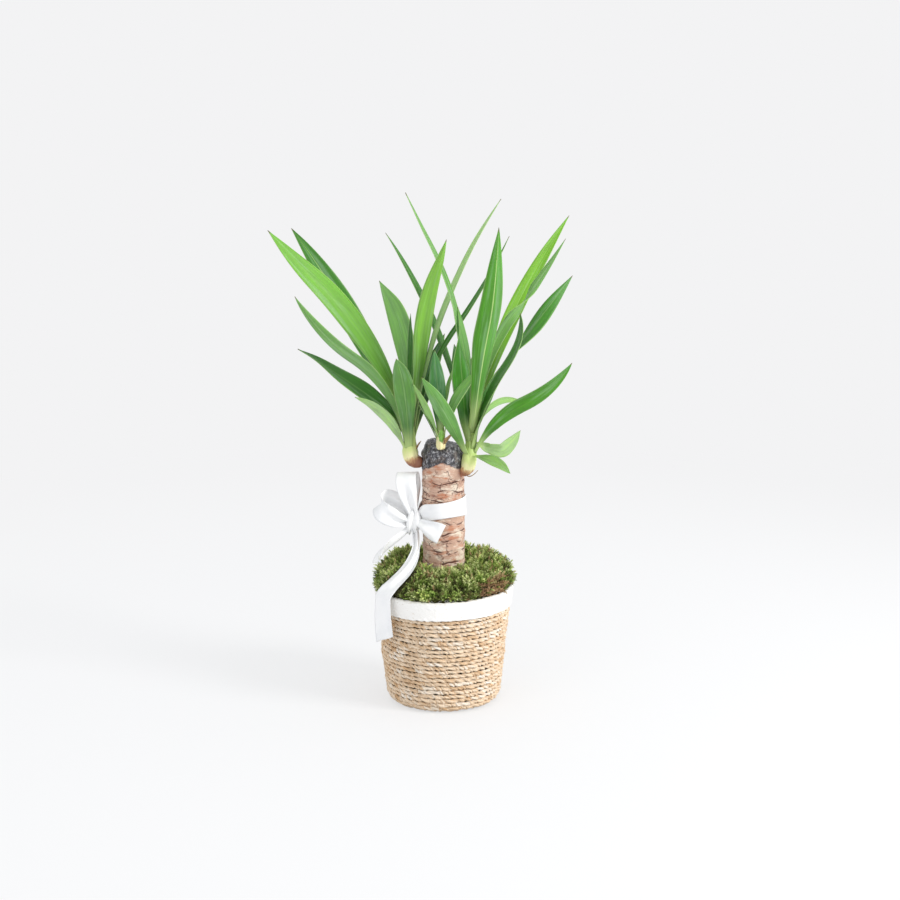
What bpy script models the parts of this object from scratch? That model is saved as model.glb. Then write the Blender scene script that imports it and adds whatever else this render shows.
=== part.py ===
"""Potted yucca: a trunk with three leafy shoots, tied with a satin ribbon, in moss in a seagrass basket.

Metres, Z up. The origin is at the centre of the basket's underside, on the ground.
+X is to the right of the front view, -Y is the front. Turns are measured round Z from +X.
"""
import math

import bmesh
import bpy
from mathutils import Vector

for old in list(bpy.data.objects):
    bpy.data.objects.remove(old, do_unlink=True)

MM = 0.001

# Basket and what stands in it
BASKET_HEIGHT = 0.1450
BASKET_RIM_RADIUS = 0.0870
BASKET_BASE_RADIUS = 0.0720
BASKET_CORNER = 0.0120
BASKET_WALL = 0.0050
BAND_HEIGHT = 0.0245
BAND_WALL = 0.0065
DENT_DEPTH = 0.0060
DENT_HEIGHT = 0.0980
DENT_TURN = 180.0
BULGE_HEIGHT = 0.0620
BULGE_OUT = 0.0020
RIM_TILT = 0.0022
LINER_GAP = 0.0004
LINER_WALL = 0.0010
POT_RIM_RADIUS = 0.0690
POT_BASE_RADIUS = 0.0520
POT_HEIGHT = 0.1228
POT_WALL = 0.0015
POT_FLOOR = 0.0067
SOIL_TOP = 0.1220
MOSS_EDGE = 0.1450
MOSS_CENTRE = 0.1640

# Trunk
TRUNK_RADIUS = 0.0263
TRUNK_FOOT = 0.0420
TRUNK_TOP = 0.3240
TRUNK_BURIED_RADIUS = 0.0250
SEAT_GAP = 0.0003

# Leaves
LEAF_THICKNESS = 0.0012
LEAF_EDGE = 0.0005
LEAF_FOLD = 0.20
LEAF_BASE_SHARE = 0.28
LEAF_SEGMENTS = 12
ROLL_SHARE = 0.25

# Ribbon
RIBBON_WIDTH = 0.0250
RIBBON_THICKNESS = 0.0008


def finish(name, colour, roughness, metallic=0.0):
    """Return a plain Principled material."""
    material = bpy.data.materials.new(name)
    material.use_nodes = True
    shader = material.node_tree.nodes["Principled BSDF"]
    shader.inputs["Base Color"].default_value = (*colour, 1.0)
    shader.inputs["Roughness"].default_value = roughness
    shader.inputs["Metallic"].default_value = metallic
    return material


SEAGRASS = finish("seagrass_rope", (0.50, 0.36, 0.17), 0.85)
WHITE_ROPE = finish("white_rope", (0.85, 0.84, 0.80), 0.80)
FILM = finish("liner_film", (0.80, 0.82, 0.82), 0.35)
BROWN_PLASTIC = finish("nursery_plastic", (0.09, 0.05, 0.04), 0.45)
PEAT = finish("peat", (0.035, 0.022, 0.014), 0.95)
MOSS = finish("green_moss", (0.12, 0.17, 0.03), 0.95)
BARK = finish("bark", (0.34, 0.19, 0.12), 0.85)
STEM = finish("shoot_stem", (0.62, 0.66, 0.33), 0.50)
LEAF = finish("leaf_green", (0.14, 0.34, 0.05), 0.40)
DRY = finish("dry_husk", (0.42, 0.26, 0.12), 0.80)
SATIN = finish("white_satin", (0.90, 0.90, 0.89), 0.35)


def place(name, mesh, material, location=(0, 0, 0), rotation=(0, 0, 0)):
    """Put a mesh in the scene as one named piece."""
    mesh.materials.append(material)
    piece = bpy.data.objects.new(name, mesh)
    piece.location = location
    piece.rotation_euler = rotation
    bpy.context.scene.collection.objects.link(piece)
    return piece


def mesh_of(name, bm):
    """Turn a bmesh into a mesh with its faces outwards."""
    bmesh.ops.recalc_face_normals(bm, faces=bm.faces)
    mesh = bpy.data.meshes.new(name)
    bm.to_mesh(mesh)
    bm.free()
    return mesh


def skin(bm, rings, closed_start=True, closed_end=True, split=None):
    """Join rings of points into one closed tube; split gives each side's diagonal, f or b."""
    loops = [[bm.verts.new(p) for p in ring] for ring in rings]
    for low, high in zip(loops, loops[1:]):
        count = len(low)
        for i in range(count):
            j = (i + 1) % count
            if split is None:
                bm.faces.new((low[i], low[j], high[j], high[i]))
            elif split[i] == "f":
                bm.faces.new((low[i], low[j], high[j]))
                bm.faces.new((low[i], high[j], high[i]))
            else:
                bm.faces.new((low[i], low[j], high[i]))
                bm.faces.new((low[j], high[j], high[i]))
    if closed_start:
        bm.faces.new(list(reversed(loops[0])))
    if closed_end:
        bm.faces.new(loops[-1])
    return loops


def turned(profile, segments, shape=None):
    """Rings of a lathe profile of (radius, height); shape moves each point."""
    rings = []
    for radius, height in profile:
        ring = []
        for i in range(segments):
            turn = math.tau * i / segments
            point = Vector((radius * math.cos(turn), radius * math.sin(turn), height))
            ring.append(shape(point, turn) if shape else point)
        rings.append(ring)
    return rings


def dented(point, turn):
    """Push the soft wall in on one side, let it bulge below, and lift the right rim a little."""
    off = (turn - math.radians(DENT_TURN) + math.pi) % math.tau - math.pi
    side = math.exp(-(off / 0.75) ** 2)
    dent = DENT_DEPTH * side * math.exp(-((point.z - DENT_HEIGHT) / 0.022) ** 2)
    bulge = BULGE_OUT * side * math.exp(-((point.z - BULGE_HEIGHT) / 0.012) ** 2)
    flat = Vector((point.x, point.y, 0.0))
    if flat.length < 0.02:
        return point
    flat = flat.normalized() * (flat.length - dent + bulge)
    rise = RIM_TILT * max(0.0, point.z - 0.03) / BASKET_HEIGHT * math.cos(turn)
    return Vector((flat.x, flat.y, point.z + rise))


def wall_radius(height):
    """Outer radius of the basket's rope wall at a height."""
    share = height / BASKET_HEIGHT
    return BASKET_BASE_RADIUS + (BASKET_RIM_RADIUS - BASKET_BASE_RADIUS) * share - 0.0015


def corner(radius, low, round_by, steps=3):
    """Profile points round the outside bottom corner."""
    points = []
    for i in range(steps + 1):
        angle = math.radians(-90 + 80 * i / steps)
        points.append((radius - round_by + round_by * math.cos(angle),
                       low + round_by + round_by * math.sin(angle)))
    return points


SEGMENTS = 40
BAND_LOW = BASKET_HEIGHT - BAND_HEIGHT
LEVELS = (0.026, 0.044, 0.062, 0.080, 0.098, 0.110)


def make_basket():
    """Rope basket, open at the top, with a soft dent in its left side."""
    top = BAND_LOW - SEAT_GAP
    outer = corner(BASKET_BASE_RADIUS, 0.0, BASKET_CORNER)
    outer += [(wall_radius(z), z) for z in LEVELS] + [(wall_radius(top), top)]
    inner = [(wall_radius(z) - BASKET_WALL, z) for z in reversed(LEVELS)]
    inner.insert(0, (wall_radius(top) - BASKET_WALL, top))
    inner += [(BASKET_BASE_RADIUS - BASKET_WALL - 0.002, BASKET_CORNER),
              (BASKET_BASE_RADIUS - BASKET_CORNER, BASKET_WALL)]
    bm = bmesh.new()
    skin(bm, turned(outer + inner, SEGMENTS, dented))
    return place("basket", mesh_of("basket", bm), SEAGRASS)


def make_rim_band():
    """White rope collar round the top of the basket."""
    bottom, top = BAND_LOW, BASKET_HEIGHT
    low, high = wall_radius(bottom) + 0.0022, BASKET_RIM_RADIUS + 0.0005
    profile = [(low - BAND_WALL, bottom), (low - 0.001, bottom), (low, bottom + 0.003),
               (high, top - 0.003), (high - 0.002, top), (high - BAND_WALL + 0.002, top),
               (high - BAND_WALL, top - 0.003)]
    bm = bmesh.new()
    rings = turned(profile, SEGMENTS, dented)
    skin(bm, rings + [rings[0]], False, False)
    bmesh.ops.remove_doubles(bm, verts=bm.verts, dist=1e-6)
    return place("rim_band", mesh_of("rim_band", bm), WHITE_ROPE)


def make_liner():
    """Thin film that lines the basket up to just under the rim."""
    def radius(z):
        return wall_radius(z) - BASKET_WALL - LINER_GAP

    top = 0.1180
    outer = [(BASKET_BASE_RADIUS - BASKET_CORNER - 0.001, BASKET_WALL + LINER_GAP),
             (BASKET_BASE_RADIUS - BASKET_WALL - 0.0045, BASKET_CORNER)]
    outer += [(radius(z) - 0.0004, z) for z in LEVELS] + [(radius(top) - 0.0006, top)]
    inner = [(r - LINER_WALL, z) for r, z in reversed(outer[1:])]
    inner += [(outer[0][0] - 0.001, BASKET_WALL + LINER_GAP + LINER_WALL)]
    bm = bmesh.new()
    skin(bm, turned(outer + inner, SEGMENTS, dented))
    return place("plastic_liner", mesh_of("plastic_liner", bm), FILM)


def make_nursery_pot():
    """Grower's pot with a rolled rim, standing inside the liner."""
    low = POT_FLOOR
    top = low + POT_HEIGHT
    outer = [(POT_BASE_RADIUS, low), (POT_BASE_RADIUS + 0.003, low + 0.006),
             (POT_RIM_RADIUS - 0.005, top - 0.012), (POT_RIM_RADIUS - 0.0015, top - 0.010),
             (POT_RIM_RADIUS - 0.0005, top)]
    inner = [(POT_RIM_RADIUS - 0.0035, top), (POT_RIM_RADIUS - 0.0070, top - 0.013),
             (POT_BASE_RADIUS - POT_WALL + 0.002, low + 0.006), (POT_BASE_RADIUS - POT_WALL, low + POT_WALL)]
    bm = bmesh.new()
    skin(bm, turned(outer + inner, SEGMENTS))
    return place("nursery_pot", mesh_of("nursery_pot", bm), BROWN_PLASTIC)


def make_soil():
    """Potting soil that fills the pot round the foot of the trunk."""
    low = POT_FLOOR + POT_WALL + SEAT_GAP
    top = POT_FLOOR + POT_HEIGHT
    outer = [(POT_BASE_RADIUS - POT_WALL - 0.0006, low), (POT_BASE_RADIUS - POT_WALL + 0.0012, low + 0.006),
             (POT_RIM_RADIUS - 0.0078, top - 0.014), (POT_RIM_RADIUS - 0.0082, SOIL_TOP - 0.002),
             (POT_RIM_RADIUS - 0.0110, SOIL_TOP)]
    hole = TRUNK_BURIED_RADIUS + SEAT_GAP + 0.0004
    inner = [(hole, SOIL_TOP), (hole, TRUNK_FOOT - SEAT_GAP)]
    bm = bmesh.new()
    skin(bm, turned(outer + inner, SEGMENTS))
    return place("potting_soil", mesh_of("potting_soil", bm), PEAT)


def make_moss():
    """Cushion of moss from the trunk to the rim, over the soil and the pot's edge."""
    edge = BASKET_RIM_RADIUS - BAND_WALL
    under = POT_FLOOR + POT_HEIGHT + SEAT_GAP
    hole = TRUNK_RADIUS + 0.0012

    def lumpy(point, turn):
        flat = math.hypot(point.x, point.y)
        if point.z > MOSS_EDGE + 0.006 and flat > hole + 0.002:
            back = math.sin(turn) * flat / edge
            point.z += 0.0055 * back + 0.0018 * math.sin(5 * turn + 0.7) + 0.0012 * math.sin(9 * turn + flat * 160)
        return dented(point, turn) if flat > POT_RIM_RADIUS else point

    profile = [(hole, SOIL_TOP + 0.0004), (POT_RIM_RADIUS - 0.0090, SOIL_TOP + 0.0004),
               (POT_RIM_RADIUS - 0.0050, under), (POT_RIM_RADIUS + 0.001, under + 0.0022),
               (edge - 0.0034, under + 0.0016), (edge - 0.0009, MOSS_EDGE - 0.006),
               (edge - 0.0003, MOSS_EDGE + 0.0010), (edge + 0.0030, MOSS_EDGE + 0.0045),
               (edge + 0.0020, MOSS_EDGE + 0.0100), (edge - 0.0070, MOSS_EDGE + 0.0200),
               (edge - 0.0220, MOSS_EDGE + 0.0270), (edge - 0.0380, MOSS_EDGE + 0.0260),
               (hole + 0.003, MOSS_CENTRE + 0.001), (hole, MOSS_CENTRE - 0.002)]
    bm = bmesh.new()
    rings = turned(profile, SEGMENTS, lumpy)
    skin(bm, rings + [rings[0]], False, False)
    bmesh.ops.remove_doubles(bm, verts=bm.verts, dist=1e-6)
    return place("moss", mesh_of("moss", bm), MOSS)


def make_trunk():
    """Stout trunk with ring scars and a knobby sealed top."""
    def knobby(point, turn):
        if point.z < MOSS_CENTRE - 0.01:
            return point
        flat = math.hypot(point.x, point.y)
        if point.z < 0.292:
            swell = 0.0004 * math.sin(3 * turn + 40 * point.z)
            return Vector((point.x * (1 + swell / flat), point.y * (1 + swell / flat), point.z))
        left = math.exp(-((point.x + 0.017) / 0.009) ** 2)
        right = math.exp(-((point.x - 0.010) / 0.012) ** 2)
        share = min(1.0, max(0.0, (point.z - 0.300) / 0.024))
        cleft = math.exp(-((point.x + 0.006) / 0.004) ** 2) * max(0.0, -point.y / TRUNK_RADIUS)
        rise = share * (0.0075 * left + 0.0010 * right - 0.0040)
        pull = 1 - 0.10 * share * cleft
        return Vector((point.x * pull, point.y * pull, point.z + rise))

    r = TRUNK_RADIUS
    profile = [(0.019, TRUNK_FOOT), (TRUNK_BURIED_RADIUS, TRUNK_FOOT + 0.010),
               (TRUNK_BURIED_RADIUS, SOIL_TOP - 0.002), (TRUNK_BURIED_RADIUS, SOIL_TOP + 0.003),
               (r - 0.0004, MOSS_CENTRE - 0.012)]
    scars = (0.176, 0.196, 0.214, 0.236, 0.257, 0.277)
    for z in scars:
        profile += [(r - 0.0003, z - 0.0040), (r + 0.0003, z - 0.0010), (r - 0.0005, z + 0.0012)]
    profile += [(r - 0.0002, 0.292), (r - 0.0002, 0.303), (r - 0.0010, 0.313),
                (r - 0.0050, 0.3215), (r - 0.0120, TRUNK_TOP + 0.0015), (0.006, TRUNK_TOP + 0.002)]
    bm = bmesh.new()
    skin(bm, turned(profile, 28, knobby))
    return place("trunk", mesh_of("trunk", bm), BARK)


def sweep(path, sides=10):
    """Rings of a round stem that follows (x, y, z, radius) points in mm."""
    points = [Vector(p[:3]) * MM for p in path]
    rings = []
    for i, (point, entry) in enumerate(zip(points, path)):
        ahead = points[min(i + 1, len(points) - 1)] - points[max(i - 1, 0)]
        ahead.normalize()
        side = ahead.cross(Vector((0, 1, 0))).normalized()
        up = side.cross(ahead).normalized()
        radius = entry[3] * MM
        rings.append([point + side * (radius * math.cos(math.tau * k / sides))
                      + up * (radius * math.sin(math.tau * k / sides)) for k in range(sides)])
    return rings


# name: (x, y, z, radius) points in mm, from the trunk outwards and up
SHOOTS = {
    "left_shoot": [(-26.7, 0, 299, 4.0), (-31, 0, 299, 5.4), (-37, 0, 301, 6.8), (-40.5, 0, 307, 7.8),
                   (-41, 0, 318, 6.9), (-41, 0, 340, 5.4), (-41, 0, 374, 3.0)],
    "right_shoot": [(23.9, -13.8, 290, 4.0), (26.6, -15.2, 291, 5.4), (29.8, -15.6, 295, 6.6),
                    (31.4, -14.4, 303, 7.5), (32.3, -12.9, 314, 6.95), (34.3, -10, 336, 5.2), (37.2, -5.8, 368, 2.8)],
    "middle_shoot": [(-3, -20.5, 320.4, 3.0), (-3, -20.5, 322, 4.2), (-3, -20.5, 325, 4.4),
                     (-3, -20.5, 332, 3.5), (-3, -20.5, 352, 2.0)],
}

# Where leaves sit on each shoot: x, y, z and radius of the stem at its lowest leaf, then the same at its top
STEMS = {"left": (-41, 0, 308, 7.6, -41, 0, 372, 3.2), "right": (31.4, -14.2, 304, 7.4, 37, -6, 366, 3.0),
         "middle": (-3, -20.5, 322, 4.4, -3, -20.5, 352, 2.0)}


def make_shoots():
    """The three green stems that carry the leaves."""
    for name, path in SHOOTS.items():
        bm = bmesh.new()
        skin(bm, sweep(path))
        place(name, mesh_of(name, bm), STEM)


def half_width(t):
    """Share of the leaf's half width at t along it: narrow foot, broad middle, sharp tip."""
    rise = min(1.0, max(0.0, (t - 0.04) / 0.46))
    rise = rise * rise * (3 - 2 * rise)
    taper = max(0.0, (t - 0.5) / 0.5)
    return (LEAF_BASE_SHARE + (1 - LEAF_BASE_SHARE) * rise) * (1 - taper ** 2.1)


def curl(points, toward, degrees, start=0.0, span=None):
    """Bend points that stand along Z toward +X or +Y, from a start height, over a span of Z."""
    if abs(degrees) < 0.01:
        return points
    span = span or max(p.z for p in points) - start
    rate = math.radians(degrees) / span
    bent = []
    for point in points:
        run = min(max(point.z - start, 0.0), span)
        over = point.z - start - run
        angle = run * rate
        side = getattr(point, toward)
        moved = point.copy()
        setattr(moved, toward, side * math.cos(angle) + (1 - math.cos(angle)) / rate + over * math.sin(angle))
        moved.z = start + (1 / rate - side) * math.sin(angle) + over * math.cos(angle)
        bent.append(moved)
    return bent


def blade_points(length, width, roll, twist, span):
    """Rings of a lightly folded blade along +Z, rolled off its foot, then twisted over a share of its length."""
    rings = []
    for i in range(LEAF_SEGMENTS + 1):
        t = min(i / LEAF_SEGMENTS, 0.999)
        w = half_width(t) * width / 2
        core = LEAF_THICKNESS / 2 * (1 - 0.4 * t)
        edge = LEAF_EDGE / 2 * (1 - 0.4 * t)
        drop = -LEAF_FOLD * w
        angle = math.radians(roll * min(t / ROLL_SHARE, 1.0)
                             + twist * min(max((t - span[0]) / (span[1] - span[0]), 0.0), 1.0))
        across = [(core, 0), (drop + edge, w), (drop - edge, w), (-core, 0), (drop - edge, -w), (drop + edge, -w)]
        rings.append([Vector((x * math.cos(angle) - y * math.sin(angle),
                              x * math.sin(angle) + y * math.cos(angle), t * length)) for x, y in across])
    return rings


# shoot, up the stem mm, turn, lean, bow, length mm, width mm, roll, twist, sway,
# then (start, degrees, span) of a second bend and (start, end) of the twist, as shares of the length
LEAVES = {
    "leaf_left_01": ("left", 44, 165, 21, 24, 291, 32, -35, -10, 38, (0.7, -14, 0.3)),
    "leaf_left_02": ("left", 30, 129, 38, 17, 341, 30, -25, 0, 0),
    "leaf_left_03": ("left", 16, 205, 8, 78, 230, 19, 20, 30, 0, (0.55, -64, 0.45)),
    "leaf_left_04": ("left", 22, 143, 31, 62, 167, 30, -17, 0, 48, (0.31, -35, 0.5)),
    "leaf_left_05": ("left", 8, 195, 17, 50, 91, 18, 40, 0, -8),
    "leaf_left_06": ("left", 8, 262, 8, 54, 156, 25, 10, 0, 0),
    "leaf_left_07": ("left", 54, 86, 14, 54, 203, 28, -25, 0, 29, (0.8, -20, 0.2)),
    "leaf_left_08": ("left", 52, 316, 14, -4, 241, 22, -25, 0, -18, (0.32, 26, 0.5)),
    "leaf_left_09": ("left", 58, 35, 7, 8, 166, 18, 30, 0, 0),
    "leaf_left_10": ("left", 60, 92, 7, 24, 116, 7, 10, 0, -2),
    "leaf_left_11": ("left", 34, 12, 8, 25, 297, 14, 15, 0, -6),
    "leaf_left_12": ("left", 22, 16, 6, 50, 268, 8, 30, 0, -16, (0.54, -35, 0.45)),
    "leaf_left_13": ("left", 22, 56, 24, 12, 138, 24, 0, 0, 0),
    "leaf_right_01": ("right", 40, 130, -2, 19, 297, 20, 0, 35, 29, (0.8, -13, 0.2), (0.3, 0.5)),
    "leaf_right_02": ("right", 30, 143, 14, 23, 269, 12, -5, 0, 6),
    "leaf_right_03": ("right", 34, 283, 23, 51, 333, 30, 15, 0, -9, (0.52, -44, 0.48)),
    "leaf_right_04": ("right", 44, 62, 30, 18, 312, 20, 30, 0, -14, (0.6, -5, 0.4)),
    "leaf_right_05": ("right", 36, 334, 0, 56, 258, 13, 90, 180, 16, (0.62, -29, 0.38), (0.55, 0.75)),
    "leaf_right_06": ("right", 26, 10, 5, 77, 239, 25, 90, 160, 30, (0.46, -42, 0.54), (0.1, 0.9)),
    "leaf_right_07": ("right", 15, 315, 9, 26, 179, 24, 56, 0, 35, (0.6, -60, 0.38)),
    "leaf_right_08": ("right", 9, 338, 24, 67, 167, 21, -55, 0, 0, (0.53, -66, 0.47)),
    "leaf_right_09": ("right", 17, 65, 8, 112, 118, 10, 100, 0, -35),
    "leaf_right_10": ("right", 20, 15, 116, -33, 69, 20, 115, 0, -28, (0.42, -45, 0.12)),
    "leaf_right_11": ("right", 6, 315, 84, 36, 62, 16, 25, 0, 0),
    "leaf_right_12": ("right", 8, 228, 31, 14, 132, 19, 45, 0, 2),
    "leaf_right_13": ("right", 24, 220, 7, 3, 168, 26, 84, 70, 8, (0.5, 0, 0.5), (0.5, 0.85)),
    "leaf_right_14": ("right", 54, 90, 6, 10, 75, 16, 0, 0, 0),
    "leaf_right_15": ("right", 20, 108, 22, 10, 128, 24, 0, 0, 0),
    "leaf_middle_01": ("middle", 9, 322, 10, 43, 108, 19, 65, 0, 3),
    "leaf_middle_02": ("middle", 18, 250, 6, 8, 104, 20, 20, 0, 0),
    "leaf_middle_03": ("middle", 26, 21, 4, 14, 72, 13, 0, 0, 0),
    "leaf_middle_04": ("middle", 12, 216, 24, 8, 78, 10, 20, 0, 0),
    "leaf_middle_05": ("middle", 8, 182, 24, 6, 50, 15, 0, 0, 0),
    "leaf_middle_06": ("middle", 4, 275, 10, 6, 20, 7, 0, 0, 0),
    "dry_sheath": ("middle", 3, 330, 30, 20, 20, 12, 0, 0, 0),
    "dry_bract": ("left", 6, 340, 24, 10, 14, 7, 0, 0, 0),
}


def make_leaves():
    """Every leaf: one blade, twisted and bent, standing on its shoot."""
    for name, row in LEAVES.items():
        shoot, up, turn, lean, bow, length, width, roll, twist, sway = row[:10]
        kink = row[10] if len(row) > 10 else (0.0, 0.0, 1.0)
        span = row[11] if len(row) > 11 else (0.0, 1.0)
        foot, top = Vector(STEMS[shoot][:4]), Vector(STEMS[shoot][4:])
        x, y, z, radius = foot.lerp(top, up / (top.z - foot.z))
        reach = radius + 1.0
        angle = math.radians(turn)
        root = (x + reach * math.cos(angle), y + reach * math.sin(angle), z)
        rings = blade_points(length * MM, width * MM, roll, twist, span)
        points = [p for ring in rings for p in ring]
        points = curl(points, "x", kink[1], kink[0] * length * MM, kink[2] * length * MM)
        points = curl(points, "y", sway)
        points = curl(points, "x", bow)
        bm = bmesh.new()
        skin(bm, [points[i:i + 6] for i in range(0, len(points), 6)], split="ffbffb")
        place(name, mesh_of(name, bm), DRY if name.startswith("dry") else LEAF,
              [c * MM for c in root], (0.0, math.radians(lean), angle))


# The ribbon is one strip, tied. Each run: (x, y, z, width) in mm and the way its width lies.
KNOT = ((-36.5, -8.0, 226.0), (9.5, 8.5, 14.0))
RUNS = {
    "upper_loop": [((-36, -9, 232, 9), (1, 0, -0.1)), ((-39, -14, 248, 17), (1, 0, -0.1)),
                   ((-41, -17, 264, 23), (1, 0, -0.2)), ((-42.5, -15, 279, 25), (1, 0, -0.2)),
                   ((-42.5, -9, 286, 25), (1, 0, -0.2)), ((-42, -2, 282, 25), (1, 0, -0.2)),
                   ((-40, 1, 268, 22), (1, 0, -0.1)), ((-38.5, 0, 252, 14), (1, 0, -0.1)),
                   ((-36.5, -5, 234, 8), (1, 0, 0))],
    "left_loop": [((-38, -5, 229, 9), (0, 0, 1)), ((-50, -4, 238, 17), (0.3, 0, 1)),
                  ((-63, -5, 247, 24), (0.4, 0, 1)), ((-74, -8, 250, 25), (0.4, 0, 1)),
                  ((-80, -13, 243, 25), (0.5, 0, 1)), ((-77, -18, 234, 25), (0.4, 0, 1)),
                  ((-65, -20, 228, 23), (0.3, 0, 1)), ((-52, -17, 225, 17), (0.2, 0, 1)),
                  ((-38, -11, 224, 9), (0, 0, 1))],
    "left_tail": [((-38, -8, 221, 9), (0.3, 0, 1)), ((-50, -10, 211, 16), (0.5, -0.4, 0.8)),
                  ((-62, -14, 202, 20), (0.5, -0.6, 0.7)), ((-74, -20, 191, 21), (0.5, -0.7, 0.5)),
                  ((-82, -27, 178, 19), (0.5, -0.8, 0.4))],
    "short_end": [((-34, -12, 226, 9), (0, 0, 1)), ((-27, -21, 224, 16), (0.1, 0, 1)),
                  ((-18, -28, 221, 22), (0.15, 0, 1)), ((-8, -31, 218, 25), (0.2, 0, 1)),
                  ((2, -31.5, 215, 25), (0.4, 0, 1))],
    "long_tail": [((-36, -11, 221, 9), (1, 0, 0)), ((-33.5, -18, 207, 9), (1, 0.1, 0)),
                  ((-34, -26, 194, 10), (1, 0.1, 0)), ((-39, -36, 182, 14), (1, -0.2, 0)),
                  ((-47, -45, 172, 19), (1, -0.4, 0)), ((-57, -52, 163, 23), (1, -0.6, 0)),
                  ((-66, -58, 155, 25), (1, -0.75, 0)), ((-72, -61, 147, 25), (1, -0.8, 0)),
                  ((-73, -61.5, 138, 25), (1, -0.8, 0)), ((-73, -61.5, 120, 25), (1, -0.75, 0)),
                  ((-72, -60, 100, 25), (1, -0.7, 0)), ((-71, -58.5, 86, 24), (1, -0.7, 0.25))],
}


def strip(path):
    """Rings of a thin flat strip along a path, with its own width direction at each point."""
    points = [Vector(p[:3]) * MM for p, _ in path]
    rings = []
    for i, (entry, side) in enumerate(path):
        ahead = (points[min(i + 1, len(points) - 1)] - points[max(i - 1, 0)]).normalized()
        across = Vector(side)
        across = (across - ahead * across.dot(ahead)).normalized() * (entry[3] * MM / 2)
        thick = ahead.cross(across).normalized() * (RIBBON_THICKNESS / 2)
        rings.append([points[i] + across + thick, points[i] + across - thick,
                      points[i] - across - thick, points[i] - across + thick])
    return rings


def band_mesh():
    """The turn of ribbon round the trunk, pinched where it enters the knot."""
    rings = []
    count = 30
    for i in range(count):
        turn = math.tau * i / count
        off = (turn - math.radians(192) + math.pi) % math.tau - math.pi
        pinch = math.exp(-(off / 0.30) ** 2)
        radius = TRUNK_RADIUS + 0.0012 + RIBBON_THICKNESS / 2 + 0.0030 * pinch
        centre = 0.2405 - 0.0015 * math.cos(turn) - 0.0025 * math.sin(turn) - 0.0100 * pinch
        half = (RIBBON_WIDTH / 2) * (1 - 0.22 * max(0.0, -math.sin(turn))) * (1 - 0.45 * pinch)
        out = Vector((math.cos(turn), math.sin(turn), 0))
        rings.append([out * (radius + RIBBON_THICKNESS / 2 * s) + Vector((0, 0, centre + half * h))
                      for s, h in ((1, 1), (1, -1), (-1, -1), (-1, 1))])
    bm = bmesh.new()
    skin(bm, rings + [rings[0]], False, False, "ffbb")
    bmesh.ops.remove_doubles(bm, verts=bm.verts, dist=1e-6)
    return mesh_of("band_run", bm)


def make_ribbon():
    """Satin strip tied round the trunk: every run is joined to the knot, as one solid."""
    centre, radii = KNOT
    bm = bmesh.new()
    bmesh.ops.create_icosphere(bm, subdivisions=2, radius=1.0)
    for vert in bm.verts:
        vert.co = Vector([(c + r * v) * MM for c, r, v in zip(centre, radii, vert.co)])
    ribbon = place("ribbon", mesh_of("ribbon", bm), SATIN)
    meshes = {"band": band_mesh()}
    for name, path in RUNS.items():
        bm = bmesh.new()
        skin(bm, strip(path), split="ffbb")
        meshes[name] = mesh_of(name, bm)
    for name, mesh in meshes.items():
        run = place("run_" + name, mesh, SATIN)
        run.hide_render = True
        run.display_type = "WIRE"
        join = ribbon.modifiers.new(name, "BOOLEAN")
        join.operation = "UNION"
        join.solver = "EXACT"
        join.object = run


make_basket()
make_rim_band()
make_liner()
make_nursery_pot()
make_soil()
make_moss()
make_trunk()
make_shoots()
make_leaves()
make_ribbon()
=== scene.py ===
"""Potted yucca: the looks of the plant, its moss, its satin ribbon and its seagrass basket.

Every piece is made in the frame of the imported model: metres, Z up, origin under the basket.
"""
from __future__ import annotations

import logging
import math
import random
from dataclasses import dataclass, field
from enum import Enum
from typing import Any, Iterable, Sequence

import bpy
import numpy as np
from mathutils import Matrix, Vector, noise
from mathutils.bvhtree import BVHTree

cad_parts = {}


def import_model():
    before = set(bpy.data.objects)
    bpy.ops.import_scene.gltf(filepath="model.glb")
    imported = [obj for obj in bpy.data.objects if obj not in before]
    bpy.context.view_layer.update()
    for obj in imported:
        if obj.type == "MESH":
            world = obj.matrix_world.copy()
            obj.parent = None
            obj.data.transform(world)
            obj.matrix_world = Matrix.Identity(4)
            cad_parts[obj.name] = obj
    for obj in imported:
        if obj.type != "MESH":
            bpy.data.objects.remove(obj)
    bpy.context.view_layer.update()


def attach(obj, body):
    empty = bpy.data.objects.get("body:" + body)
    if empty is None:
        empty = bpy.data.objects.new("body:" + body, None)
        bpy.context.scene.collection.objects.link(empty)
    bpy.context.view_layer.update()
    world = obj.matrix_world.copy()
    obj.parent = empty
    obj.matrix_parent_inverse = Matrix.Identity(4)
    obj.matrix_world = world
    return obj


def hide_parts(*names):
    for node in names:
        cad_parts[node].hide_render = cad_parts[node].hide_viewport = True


MM = 0.001
GOLDEN_TURN = 2.399  # radians; it spreads a row of turns evenly
LOG = logging.getLogger("yucca")


# ---------------------------------------------------------------- shader maths


def paint(code: str) -> tuple[float, float, float, float]:
    """Return the linear colour of a hex code such as "#8A6B3C"."""
    parts = [int(code[i:i + 2], 16) / 255 for i in (1, 3, 5)]
    return tuple(p / 12.92 if p <= 0.04045 else ((p + 0.055) / 1.055) ** 2.4 for p in parts) + (1.0,)


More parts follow.
